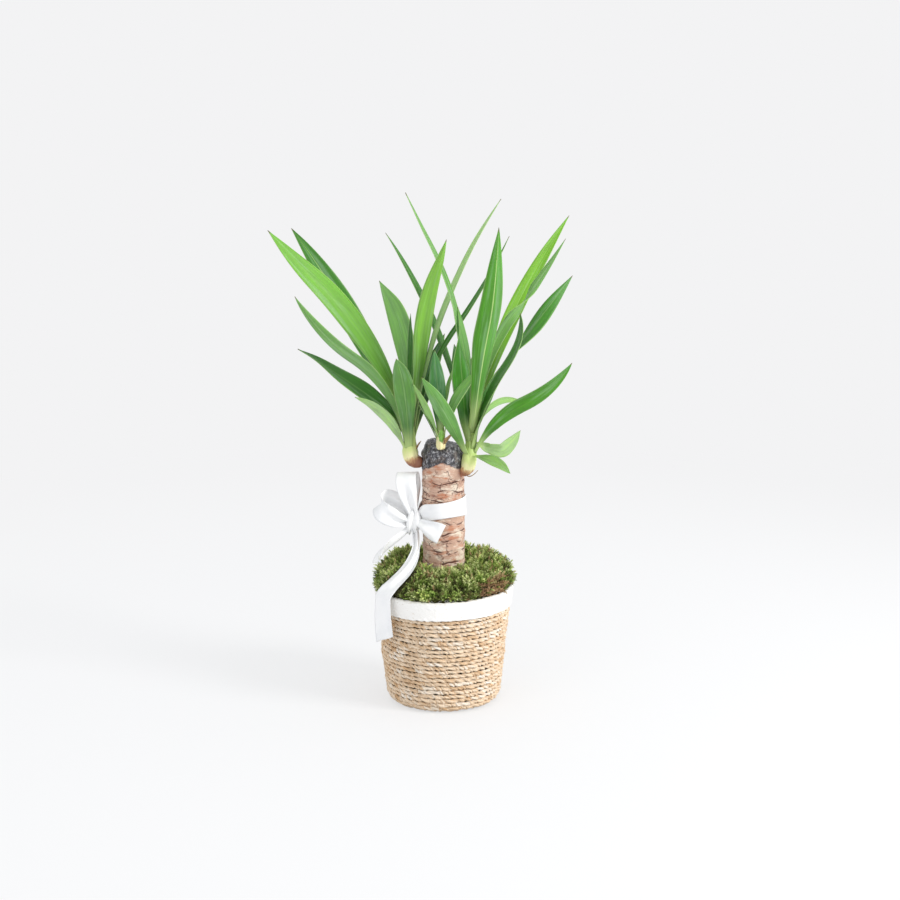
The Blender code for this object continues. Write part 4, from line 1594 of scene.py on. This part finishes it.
@dataclass
class Foliage:
    """Every leaf, copied from one blade that is modelled once.

    Attributes:
        stations: Steps along a leaf.
        lanes: Steps across a leaf.
        clasp: The radius at which a leaf's foot curls round its stem.
        clasp_share: The share of a leaf that the curl takes.
        roll_share: The share of a leaf over which it rolls.
        foot_gap: Millimetres from the stem's surface to the middle of a foot.
        stems: (x, y, z, radius) at the foot and at the top of each stem, in millimetres.
    """

    stations: int = 36
    lanes: int = 8
    thickness: float = 0.00075
    narrowest: float = 0.004
    foot_share: float = 0.42
    crease: float = 0.10
    ripple: float = 0.030
    clasp: float = 0.0072
    clasp_share: float = 0.16
    roll_share: float = 0.25
    foot_gap: float = 0.7
    stems: dict[str, tuple[float, ...]] = field(default_factory=lambda: {
        "left": (-41, 0, 308, 7.6, -41, 0, 372, 3.2), "right": (31.4, -14.2, 304, 7.4, 37, -6, 366, 3.0),
        "middle": (-3, -20.5, 322, 4.4, -3, -20.5, 352, 2.0)})

    def breadth(self, share: float) -> float:
        """Work out how wide a blade is at a place.

        Args:
            share: The place, as a share of the blade's length.

        Returns:
            The width, as a share of the blade's widest.
        """
        share = min(share, 0.999)
        rise = min(1.0, max(0.0, (share - 0.04) / 0.46))
        rise = rise * rise * (3 - 2 * rise)
        taper = max(0.0, (share - 0.5) / 0.5)
        wide = (self.foot_share + (1 - self.foot_share) * rise) * (1 - taper ** 2.1)
        return max(wide, self.narrowest)

    def pattern(self) -> bpy.types.Object:
        """Model the blade that all leaves are copied from.

        Returns:
            The blade, 1 long along Z and 2 wide along Y.
        """
        deselect()
        bpy.ops.mesh.primitive_grid_add(x_subdivisions=self.lanes, y_subdivisions=self.stations, size=2,
                                        location=(0, 1, 0))
        blade = settle(added("blade_pattern"))
        blade.scale = (1, 0.5, 1)
        settle(blade)
        take(blade)
        rows = [round(v.co.y * self.stations) for v in blade.data.vertices]
        bpy.ops.object.mode_set(mode="EDIT")
        for row in range(self.stations + 1):
            bpy.ops.mesh.select_all(action="DESELECT")
            bpy.ops.object.mode_set(mode="OBJECT")
            for vert, at in zip(blade.data.vertices, rows):
                vert.select = at == row
            bpy.ops.object.mode_set(mode="EDIT")
            share = row / self.stations
            bpy.ops.transform.resize(value=(self.breadth(share), 1, 1), center_override=(0, share, 0))
        bpy.ops.object.mode_set(mode="OBJECT")
        blade.rotation_euler = (math.pi / 2, 0, math.pi / 2)
        return settle(blade)

    def shape(self, piece: bpy.types.Object, how: Bend, degrees: float, start: float = 0.0,
              span: float | None = None) -> None:
        """Bend or twist a blade, with its foot left where it is.

        Args:
            piece: The blade.
            how: Which way it is shaped.
            degrees: How far.
            start: The height at which it begins.
            span: The height that it takes, or None for the rest of the blade.
        """
        if abs(degrees) < 0.01:
            return
        points = points_of(piece)
        low, high = points[:, 2].min(), points[:, 2].max()
        span = span or high - start
        set_points(piece, points - np.array([0, 0, start]))
        method, axis = how.value
        modifier = piece.modifiers.new("shape", "SIMPLE_DEFORM")
        modifier.deform_method, modifier.deform_axis = method, axis
        modifier.angle = math.radians(degrees)
        modifier.limits = ((start - low) / (high - low), min((start + span - low) / (high - low), 1.0))
        apply_all(piece)
        set_points(piece, points_of(piece) + np.array([0, 0, start]))

    def fold(self, leaf: bpy.types.Object, blade: Blade, number: int) -> None:
        """Give a leaf its size, its crease and ripple, and a foot that clasps the stem; colour it, with
        painted shade over its foot.

        Args:
            leaf: A copy of the pattern.
            blade: The leaf's row.
            number: Its place in the table, which sets its ripple and tone.
        """
        flat = points_of(leaf)
        share = flat[:, 2].copy()
        across = flat[:, 1] / np.array([self.breadth(s) for s in share])
        half = blade.width * MM / 2
        side = flat[:, 1] * half
        soft = np.sqrt(side ** 2 + (self.crease * half) ** 2) - self.crease * half
        rippled = smooth_rise(share, 0.1, 0.4)
        ripple = self.ripple * half * np.sin(share * 17 + number) * across ** 2 * rippled
        hug = 1 - smooth_rise(share, 0.02, self.clasp_share)
        curve = side / self.clasp
        depth = (1 - hug) * (ripple - blade.fold * soft) - hug * self.clasp * (1 - np.cos(curve))
        wide = (1 - hug) * side + hug * self.clasp * np.sin(curve)
        set_points(leaf, np.stack([depth, wide, share * blade.length * MM], axis=1))
        salt = (number * 0.618) % 1.0
        mark(leaf, "blade", np.stack([across, share, np.full_like(share, salt)], axis=1))
        mark(leaf, "keel", np.full_like(share, min(1.0, max(0.0, (blade.fold - 0.14) / 0.26))))
        # Each leaf's tone varies a little at random; the foot is darkened with painted shade, as the crown
        # shades it.
        light = 1 + 0.07 * math.sin(number * 2.1)
        shade = light * (1 - blade.foot_shade * (1 - smooth_rise(share, 0.12, 0.42)))
        dimming = np.stack([shade, shade, shade, np.ones_like(shade)], axis=1)
        mark(leaf, "tint", np.array(paint(blade.tone.value)) * dimming)

    def bend(self, leaf: bpy.types.Object, blade: Blade) -> None:
        """Turn, twist, kink and bow a leaf along its length.

        Args:
            leaf: The folded leaf.
            blade: The leaf's row.
        """
        length = blade.length * MM
        self.shape(leaf, Bend.TWIST, blade.roll, 0.0, self.roll_share * length)
        first, last = blade.span
        self.shape(leaf, Bend.TWIST, blade.twist, first * length, (last - first) * length)
        start, angle, span = blade.kink
        self.shape(leaf, Bend.OUTWARD, angle, start * length, span * length)
        self.shape(leaf, Bend.SIDEWAYS, blade.sway)
        self.shape(leaf, Bend.OUTWARD, blade.bow)

    def leaf(self, pattern: bpy.types.Object, blade: Blade, number: int) -> bpy.types.Object:
        """Cut, fold, bend and set one leaf.

        Args:
            pattern: The blade to copy.
            blade: The leaf's row.
            number: Its place in the table.

        Returns:
            The leaf.
        """
        leaf = twin(pattern, blade.name + "_blade")
        self.fold(leaf, blade, number)
        self.bend(leaf, blade)
        thickened(leaf, self.thickness)
        foot, top = Vector(self.stems[blade.shoot][:4]), Vector(self.stems[blade.shoot][4:])
        x, y, z, radius = foot.lerp(top, blade.up / (top.z - foot.z))
        reach = radius + self.foot_gap
        turn = math.radians(blade.turn)
        leaf.location = ((x + reach * math.cos(turn)) * MM, (y + reach * math.sin(turn)) * MM, z * MM)
        leaf.rotation_euler = (0.0, math.radians(blade.lean), turn)
        return settle(leaf)

    def build(self, leaf: bpy.types.Material, husk: bpy.types.Material) -> None:
        """Make every leaf and husk.

        Args:
            leaf: The leaves' material.
            husk: The husks' material.
        """
        pattern = self.pattern()
        for number, blade in enumerate(BLADES):
            piece = self.leaf(pattern, blade, number)
            dry = blade.name.startswith("dry")
            hand_over(piece, husk if dry else leaf, [blade.name])
        bpy.data.objects.remove(pattern)


# ---------------------------------------------------------------- ribbon


@dataclass(frozen=True)
class Run:
    """One run of the ribbon: points in millimetres with the width there, and the way the width lies."""

    points: tuple[tuple[float, float, float, float], ...]
    sides: tuple[tuple[float, float, float], ...]
    pleats: float = 1.5
    cut: float = 0.0


@dataclass
class SatinRibbon:
    """One strip of satin: a turn round the trunk, a knot, two loops and three ends.

    Attributes:
        pitch: The distance between steps along a run.
        knot: The middle of the knot.
        knot_turn: The way, in degrees, from the trunk's middle to the knot.
        knot_spread: How far, in radians, the turn is pinched beside the knot.
        knot_length: The length of ribbon that the knot takes up.
    """

    width: float = 0.0250
    thickness: float = 0.00030
    trunk_radius: float = 0.0263
    lanes: int = 14
    pitch: float = 0.0022
    knot: tuple[float, float, float] = (-0.0365, -0.0080, 0.2260)
    knot_turn: float = 192.0
    knot_spread: float = 0.30
    knot_length: float = 0.072
    deepest_pleat: float = 0.0034
    band_pleat: float = 0.0007
    loop_curl: float = 0.0011
    band_curl: float = 0.0002
    band_steps: int = 84
    knot_steps: int = 40

    def runs(self) -> list[Run]:
        """Lay out the loops and the ends.

        Returns:
            The two loops, then the three ends, of which the long one is last.
        """
        return [
            Run(((-36.5, -9, 232, 9), (-40, -14, 248, 17), (-43.5, -17, 264, 23), (-46, -15, 277, 25),
                 (-45.5, -9, 285, 25), (-42.5, -2, 285, 25), (-39.5, 1, 270, 23), (-38, 0, 252, 15),
                 (-36.5, -5, 234, 8)),
                ((1, 0, 0.1), (1, 0, 0.15), (1, 0, 0.2), (1, 0, 0.25), (1, 0, 0.15), (1, 0, -0.1),
                 (1, 0, -0.15), (1, 0, -0.1), (1, 0, 0))),
            Run(((-38, -5, 230, 9), (-49, -4, 241, 17), (-61, -5, 251, 23), (-71, -8, 254, 25),
                 (-77, -13, 248, 25), (-74, -18, 240, 25), (-63, -20, 234, 23), (-51, -17, 229, 16),
                 (-38, -11, 226, 9)),
                ((0, 0, 1), (0.3, 0, 1), (0.4, 0, 1), (0.4, 0, 1), (0.5, 0, 1), (0.4, 0, 1), (0.3, 0, 1),
                 (0.2, 0, 1), (0, 0, 1))),
            Run(((-38, -8, 221, 9), (-50, -10, 211, 16), (-62, -14, 202, 20), (-74, -20, 191, 21),
                 (-82, -27, 178, 19)),
                ((0.3, 0, 1), (0.5, -0.4, 0.8), (0.5, -0.6, 0.7), (0.5, -0.7, 0.5), (0.5, -0.8, 0.4)),
                1.0, 0.4),
            Run(((-34, -12, 226, 9), (-27, -21, 224, 16), (-18, -28, 221, 22), (-8, -31, 218, 25),
                 (-2.5, -31.5, 215.5, 25)),
                ((0, 0, 1), (0.1, 0, 1), (0.15, 0, 1), (0.2, 0, 1), (0.3, 0, 1)), 1.0, 0.0),
            Run(((-36, -11, 221, 9), (-33.5, -18, 207, 9), (-34, -26, 194, 10), (-39, -36, 182, 14),
                 (-47, -45, 172, 19), (-57, -52, 163, 23), (-66, -58, 155, 25), (-72, -61, 147, 25),
                 (-73, -61.5, 138, 25), (-73, -61.5, 120, 25), (-72, -60, 100, 25), (-71, -58.5, 86, 24)),
                ((1, 0, 0), (1, 0.1, 0), (1, 0.1, 0), (1, -0.2, 0), (1, -0.4, 0), (1, -0.6, 0),
                 (1, -0.75, 0), (1, -0.8, 0), (1, -0.8, 0), (1, -0.75, 0), (1, -0.7, 0), (1, -0.7, 0.25)),
                1.5, 0.4),
        ]

    def smoothed(self, run: Run) -> tuple[np.ndarray, np.ndarray]:
        """Draw a smooth, evenly stepped line through a run.

        Args:
            run: The run.

        Returns:
            Rows of (x, y, z, width), and the way the width lies at each.
        """
        rows = np.array(run.points) * MM
        ways = np.array([Vector(s).normalized()[:] for s in run.sides])
        both = np.hstack([rows, ways])
        padded = np.vstack([2 * both[0] - both[1], both, 2 * both[-1] - both[-2]])
        fine = []
        for i in range(1, len(padded) - 2):
            a, b, c, d = padded[i - 1:i + 3]
            for t in np.linspace(0, 1, 12, endpoint=False):
                fine.append(0.5 * (2 * b + (c - a) * t + (2 * a - 5 * b + 4 * c - d) * t * t
                                   + (3 * b - a - 3 * c + d) * t ** 3))
        fine.append(both[-1])
        fine = np.array(fine)
        travel = np.concatenate([[0], np.cumsum(np.linalg.norm(np.diff(fine[:, :3], axis=0), axis=1))])
        even = np.linspace(0, travel[-1], max(8, round(travel[-1] / self.pitch)))
        line = np.stack([np.interp(even, travel, fine[:, k]) for k in range(7)], axis=1)
        return line[:, :4], line[:, 4:]

    def pleat(self, shown: float, pleats: float) -> float:
        """Work out how deep the pleats are where the strip is gathered.

        Args:
            shown: The width that it is gathered to.
            pleats: How many lie side by side.

        Returns:
            Their depth.
        """
        slack = max(0.0, (self.width / shown) ** 2 - 1)
        deep = 0.0
        if slack > 0.01:
            deep = min(self.deepest_pleat, shown / (math.tau * pleats) * math.sqrt(2 * slack))
        return min(deep, self.band_pleat) if pleats < 1 else deep

    def cloth(self, line: np.ndarray, ways: np.ndarray, start: float, pleats: float, cut: float,
              closed: bool = False) -> bpy.types.Object:
        """Make a strip along a line, gathered into pleats where it is narrower than the ribbon.

        Args:
            line: Rows of (x, y, z, width).
            ways: The way the width lies at each row.
            start: The length of ribbon before this strip.
            pleats: How many pleats lie side by side.
            cut: How slanting the far end is cut.
            closed: Whether the strip's ends meet.

        Returns:
            The strip, without thickness.
        """
        points, marks, count = [], [], len(line)
        travel, last = start, len(line) - 1
        bend = self.band_curl if closed else self.loop_curl
        for i in range(count):
            before, after = (i - 1, (i + 1) % count) if closed else (max(i - 1, 0), min(i + 1, last))
            ahead = Vector(line[after, :3] - line[before, :3]).normalized()
            way = Vector(ways[i])
            way = (way - ahead * way.dot(ahead)).normalized()
            out = ahead.cross(way)
            shown = max(line[i, 3], 0.004)
            deep = self.pleat(shown, pleats)
            if i:
                travel += float(np.linalg.norm(line[i, :3] - line[i - 1, :3]))
            slant = 0.0 if closed else cut * self.width * max(0.0, (i - count + 8) / 7)
            for lane in range(self.lanes + 1):
                u = lane / self.lanes - 0.5
                wave = deep * math.sin(math.tau * pleats * u + 0.9 + travel * 45)
                curl = bend * math.sin(travel * 70 + u * 2.5) * (1 - 2 * abs(u) * 0.3)
                spot = Vector(line[i, :3]) + way * (u * shown) + out * (wave + curl)
                points.append((spot - ahead * (slant * (u + 0.5)))[:])
                marks.append((u * self.width, travel, 0.0))
        wide = self.lanes + 1
        faces = []
        for i in range(count if closed else last):
            here, there = i * wide, (i + 1) % count * wide
            faces += [(here + lane, here + lane + 1, there + lane + 1, there + lane)
                      for lane in range(self.lanes)]
        piece = gather("cloth", np.array(points), faces)
        mark(piece, "cloth", np.array(marks))
        return piece

    def band(self) -> bpy.types.Object:
        """Make the turn round the trunk.

        Returns:
            The turn, without thickness.
        """
        line = []
        for turn in (math.tau * i / self.band_steps for i in range(self.band_steps)):
            off = wrapped(turn - math.radians(self.knot_turn))
            pinch = math.exp(-(off / self.knot_spread) ** 2)
            radius = self.trunk_radius + 0.0012 + 0.0030 * pinch
            centre = 0.2415 + 0.0042 * math.cos(turn) - 0.0022 * math.sin(turn) - 0.0080 * pinch
            wide = self.width * (1 - 0.22 * max(0.0, -math.sin(turn))) * (1 - 0.45 * pinch)
            line.append((radius * math.cos(turn), radius * math.sin(turn), centre, wide))
        ways = [(0.0, 0.0, 1.0)] * self.band_steps
        return self.cloth(np.array(line), np.array(ways), start=0.30, pleats=0.5, cut=0.0, closed=True)

    def wrap(self) -> bpy.types.Object:
        """Make the turn of ribbon that forms the knot.

        Returns:
            The knot, without thickness.
        """
        line, ways = [], []
        for turn in (math.tau * i / self.knot_steps for i in range(self.knot_steps)):
            wide = 0.0150 + 0.0030 * math.cos(turn * 2)
            line.append((self.knot[0] + 0.0012 * math.sin(turn), self.knot[1] + 0.0092 * math.cos(turn),
                         self.knot[2] + 0.0135 * math.sin(turn), wide))
            ways.append((1.0, 0.15 * math.sin(turn), 0.12))
        return self.cloth(np.array(line), np.array(ways), start=0.62, pleats=2.0, cut=0.0, closed=True)

    def build(self, satin: bpy.types.Material) -> None:
        """Make the whole ribbon as one sheet piece.

        Args:
            satin: The ribbon's material.
        """
        cloths, travel = [self.band(), self.wrap()], 0.0
        length = math.tau * (self.trunk_radius + 0.002) + self.knot_length
        for run in self.runs():
            line, ways = self.smoothed(run)
            cloths.append(self.cloth(line, ways, travel, run.pleats, run.cut))
            part = float(np.linalg.norm(np.diff(line[:, :3], axis=0), axis=1).sum())
            travel += part + 0.05
            length += part
        ribbon = thickened(joined(cloths, "ribbon_satin"), self.thickness)
        hand_over(ribbon, satin, ["ribbon"])
        LOG.info("ribbon length %.3f m", length)


# ---------------------------------------------------------------- hidden pieces and studio


def dress_hidden() -> None:
    """Finish the liner, the grower's pot and the soil, which stay as their solids."""
    finishes = {
        "plastic_liner": MouldedFinish("liner_film_look", "#2C2A26", "#4A463E", 0.40),
        "nursery_pot": MouldedFinish("nursery_pot_look", "#33241D", "#5A463A", 0.45),
        "potting_soil": SoilyFinish("peat_look", "#1C130C", "#4A3423"),
    }
    for node, finish in finishes.items():
        mesh = bpy.data.objects[node].data
        mesh.materials.clear()
        mesh.materials.append(finish.build())


@dataclass
class Studio:
    """Pale floor, soft lamps and the camera."""

    backdrop: str = "#F3F3F4"
    near: str = "#FCFCFC"
    eye: tuple[float, float, float] = (0.008, -1.963, 0.696)
    target: tuple[float, float, float] = (0.008, 0.0, 0.314)
    lens: float = 65.4
    sensor: float = 36.0
    floor_colour: tuple[float, float, float, float] = (0.83, 0.84, 0.86, 1.0)
    sky_colour: tuple[float, float, float, float] = (0.98, 0.985, 1.0, 1.0)
    sky: float = 0.85
    glow: float = 0.60
    lit: tuple[float, float, float] = (0.0, 0.0, 0.25)
    key_power: float = 34.0
    fill_power: float = 5.0

    @staticmethod
    def aimed(piece: bpy.types.Object, target: Sequence[float]) -> None:
        """Turn a lamp or the camera towards a point."""
        piece.rotation_euler = (Vector(target) - piece.location).to_track_quat("-Z", "Y").to_euler()

    def camera(self) -> None:
        """Set the camera in front and a little above."""
        bpy.ops.object.camera_add(location=self.eye)
        camera = bpy.context.object
        self.aimed(camera, self.target)
        camera.data.lens, camera.data.sensor_width = self.lens, self.sensor
        camera.data.clip_end = 50.0
        bpy.context.scene.camera = camera

    def lamp(self, name: str, spot: tuple[float, float, float], size: float, power: float,
             colour: tuple[float, float, float]) -> None:
        """Aim one soft square lamp at the plant.

        Args:
            name: The lamp's name.
            spot: Where it stands.
            size: The side of its square.
            power: Its power in watts.
            colour: The colour of its light.
        """
        bpy.ops.object.light_add(type="AREA", location=spot)
        lamp = bpy.context.object
        lamp.name = name
        self.aimed(lamp, self.lit)
        lamp.data.shape, lamp.data.size = "SQUARE", size
        lamp.data.energy, lamp.data.color = power, colour

    def world(self) -> None:
        """Light from all sides, with the backdrop's colour seen directly."""
        world = bpy.data.worlds.new("studio")
        bpy.context.scene.world = world
        world.use_nodes = True
        tree = world.node_tree
        sky = tree.nodes["Background"]
        sky.inputs["Color"].default_value = self.sky_colour
        sky.inputs["Strength"].default_value = self.sky
        shown = tree.nodes.new("ShaderNodeBackground")
        shown.inputs["Color"].default_value = paint(self.backdrop)
        path, pick = tree.nodes.new("ShaderNodeLightPath"), tree.nodes.new("ShaderNodeMixShader")
        tree.links.new(path.outputs["Is Camera Ray"], pick.inputs[0])
        tree.links.new(sky.outputs[0], pick.inputs[1])
        tree.links.new(shown.outputs[0], pick.inputs[2])
        tree.links.new(pick.outputs[0], tree.nodes["World Output"].inputs[0])

    def floor(self) -> None:
        """Lay a pale floor that keeps the shadow and fades into the backdrop."""
        deselect()
        bpy.ops.mesh.primitive_circle_add(vertices=96, radius=6.0, fill_type="NGON",
                                          location=(0, 0, -0.0002))
        floor = settle(added("floor"))
        g = Graph("floor_look")
        tree = g.tree
        away = g.node("ShaderNodeVectorMath", {"operation": "LENGTH"}, {0: g.place()}, "Value")
        far = away.step(0.5, 1.6)
        camera = g.node("ShaderNodeLightPath", output="Is Camera Ray")
        matt = {"Base Color": self.floor_colour, "Roughness": 0.9, "Specular IOR Level": 0.0}
        for key, value in matt.items():
            g.feed(g.shader.inputs[key], value)
        glow = tree.nodes.new("ShaderNodeEmission")
        tree.links.new(g.mix(far, paint(self.near), paint(self.backdrop)).link, glow.inputs["Color"])
        blend = tree.nodes.new("ShaderNodeMixShader")
        tree.links.new(((far * (1 - self.glow) + self.glow) * camera).link, blend.inputs[0])
        tree.links.new(g.shader.outputs[0], blend.inputs[1])
        tree.links.new(glow.outputs[0], blend.inputs[2])
        tree.links.new(blend.outputs[0], tree.nodes["Material Output"].inputs[0])
        floor.data.materials.append(g.material)

    def build(self) -> None:
        """Set up the whole studio."""
        bpy.context.scene.view_settings.view_transform = "Standard"
        self.camera()
        self.world()
        self.floor()
        self.lamp("key", (1.90, -0.95, 1.35), 0.8, self.key_power, (1.0, 0.985, 0.96))
        self.lamp("fill", (-1.2, -1.6, 1.6), 1.4, self.fill_power, (0.95, 0.97, 1.0))


def main() -> None:
    """Build every piece in order."""
    logging.basicConfig(level=logging.INFO, format="%(name)s %(message)s")
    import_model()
    RopeBasket().build(SeagrassFinish().build(), ChalkRopeFinish().build())
    ribbon = SatinRibbon()
    moss, bed = MossFinish().build(), SoilyFinish("moss_bed", "#1B1D0C", "#5B5A2A").build()
    MossCushion(tail=ribbon.runs()[-1].points).build(moss, bed)
    Trunk().build(BarkFinish().build())
    husk = HuskFinish().build()
    Shoots().build(ShootFinish().build(), husk)
    Foliage().build(LeafFinish().build(), husk)
    ribbon.build(SatinFinish().build())
    dress_hidden()
    Studio().build()


if __name__ == "__main__":
    main()
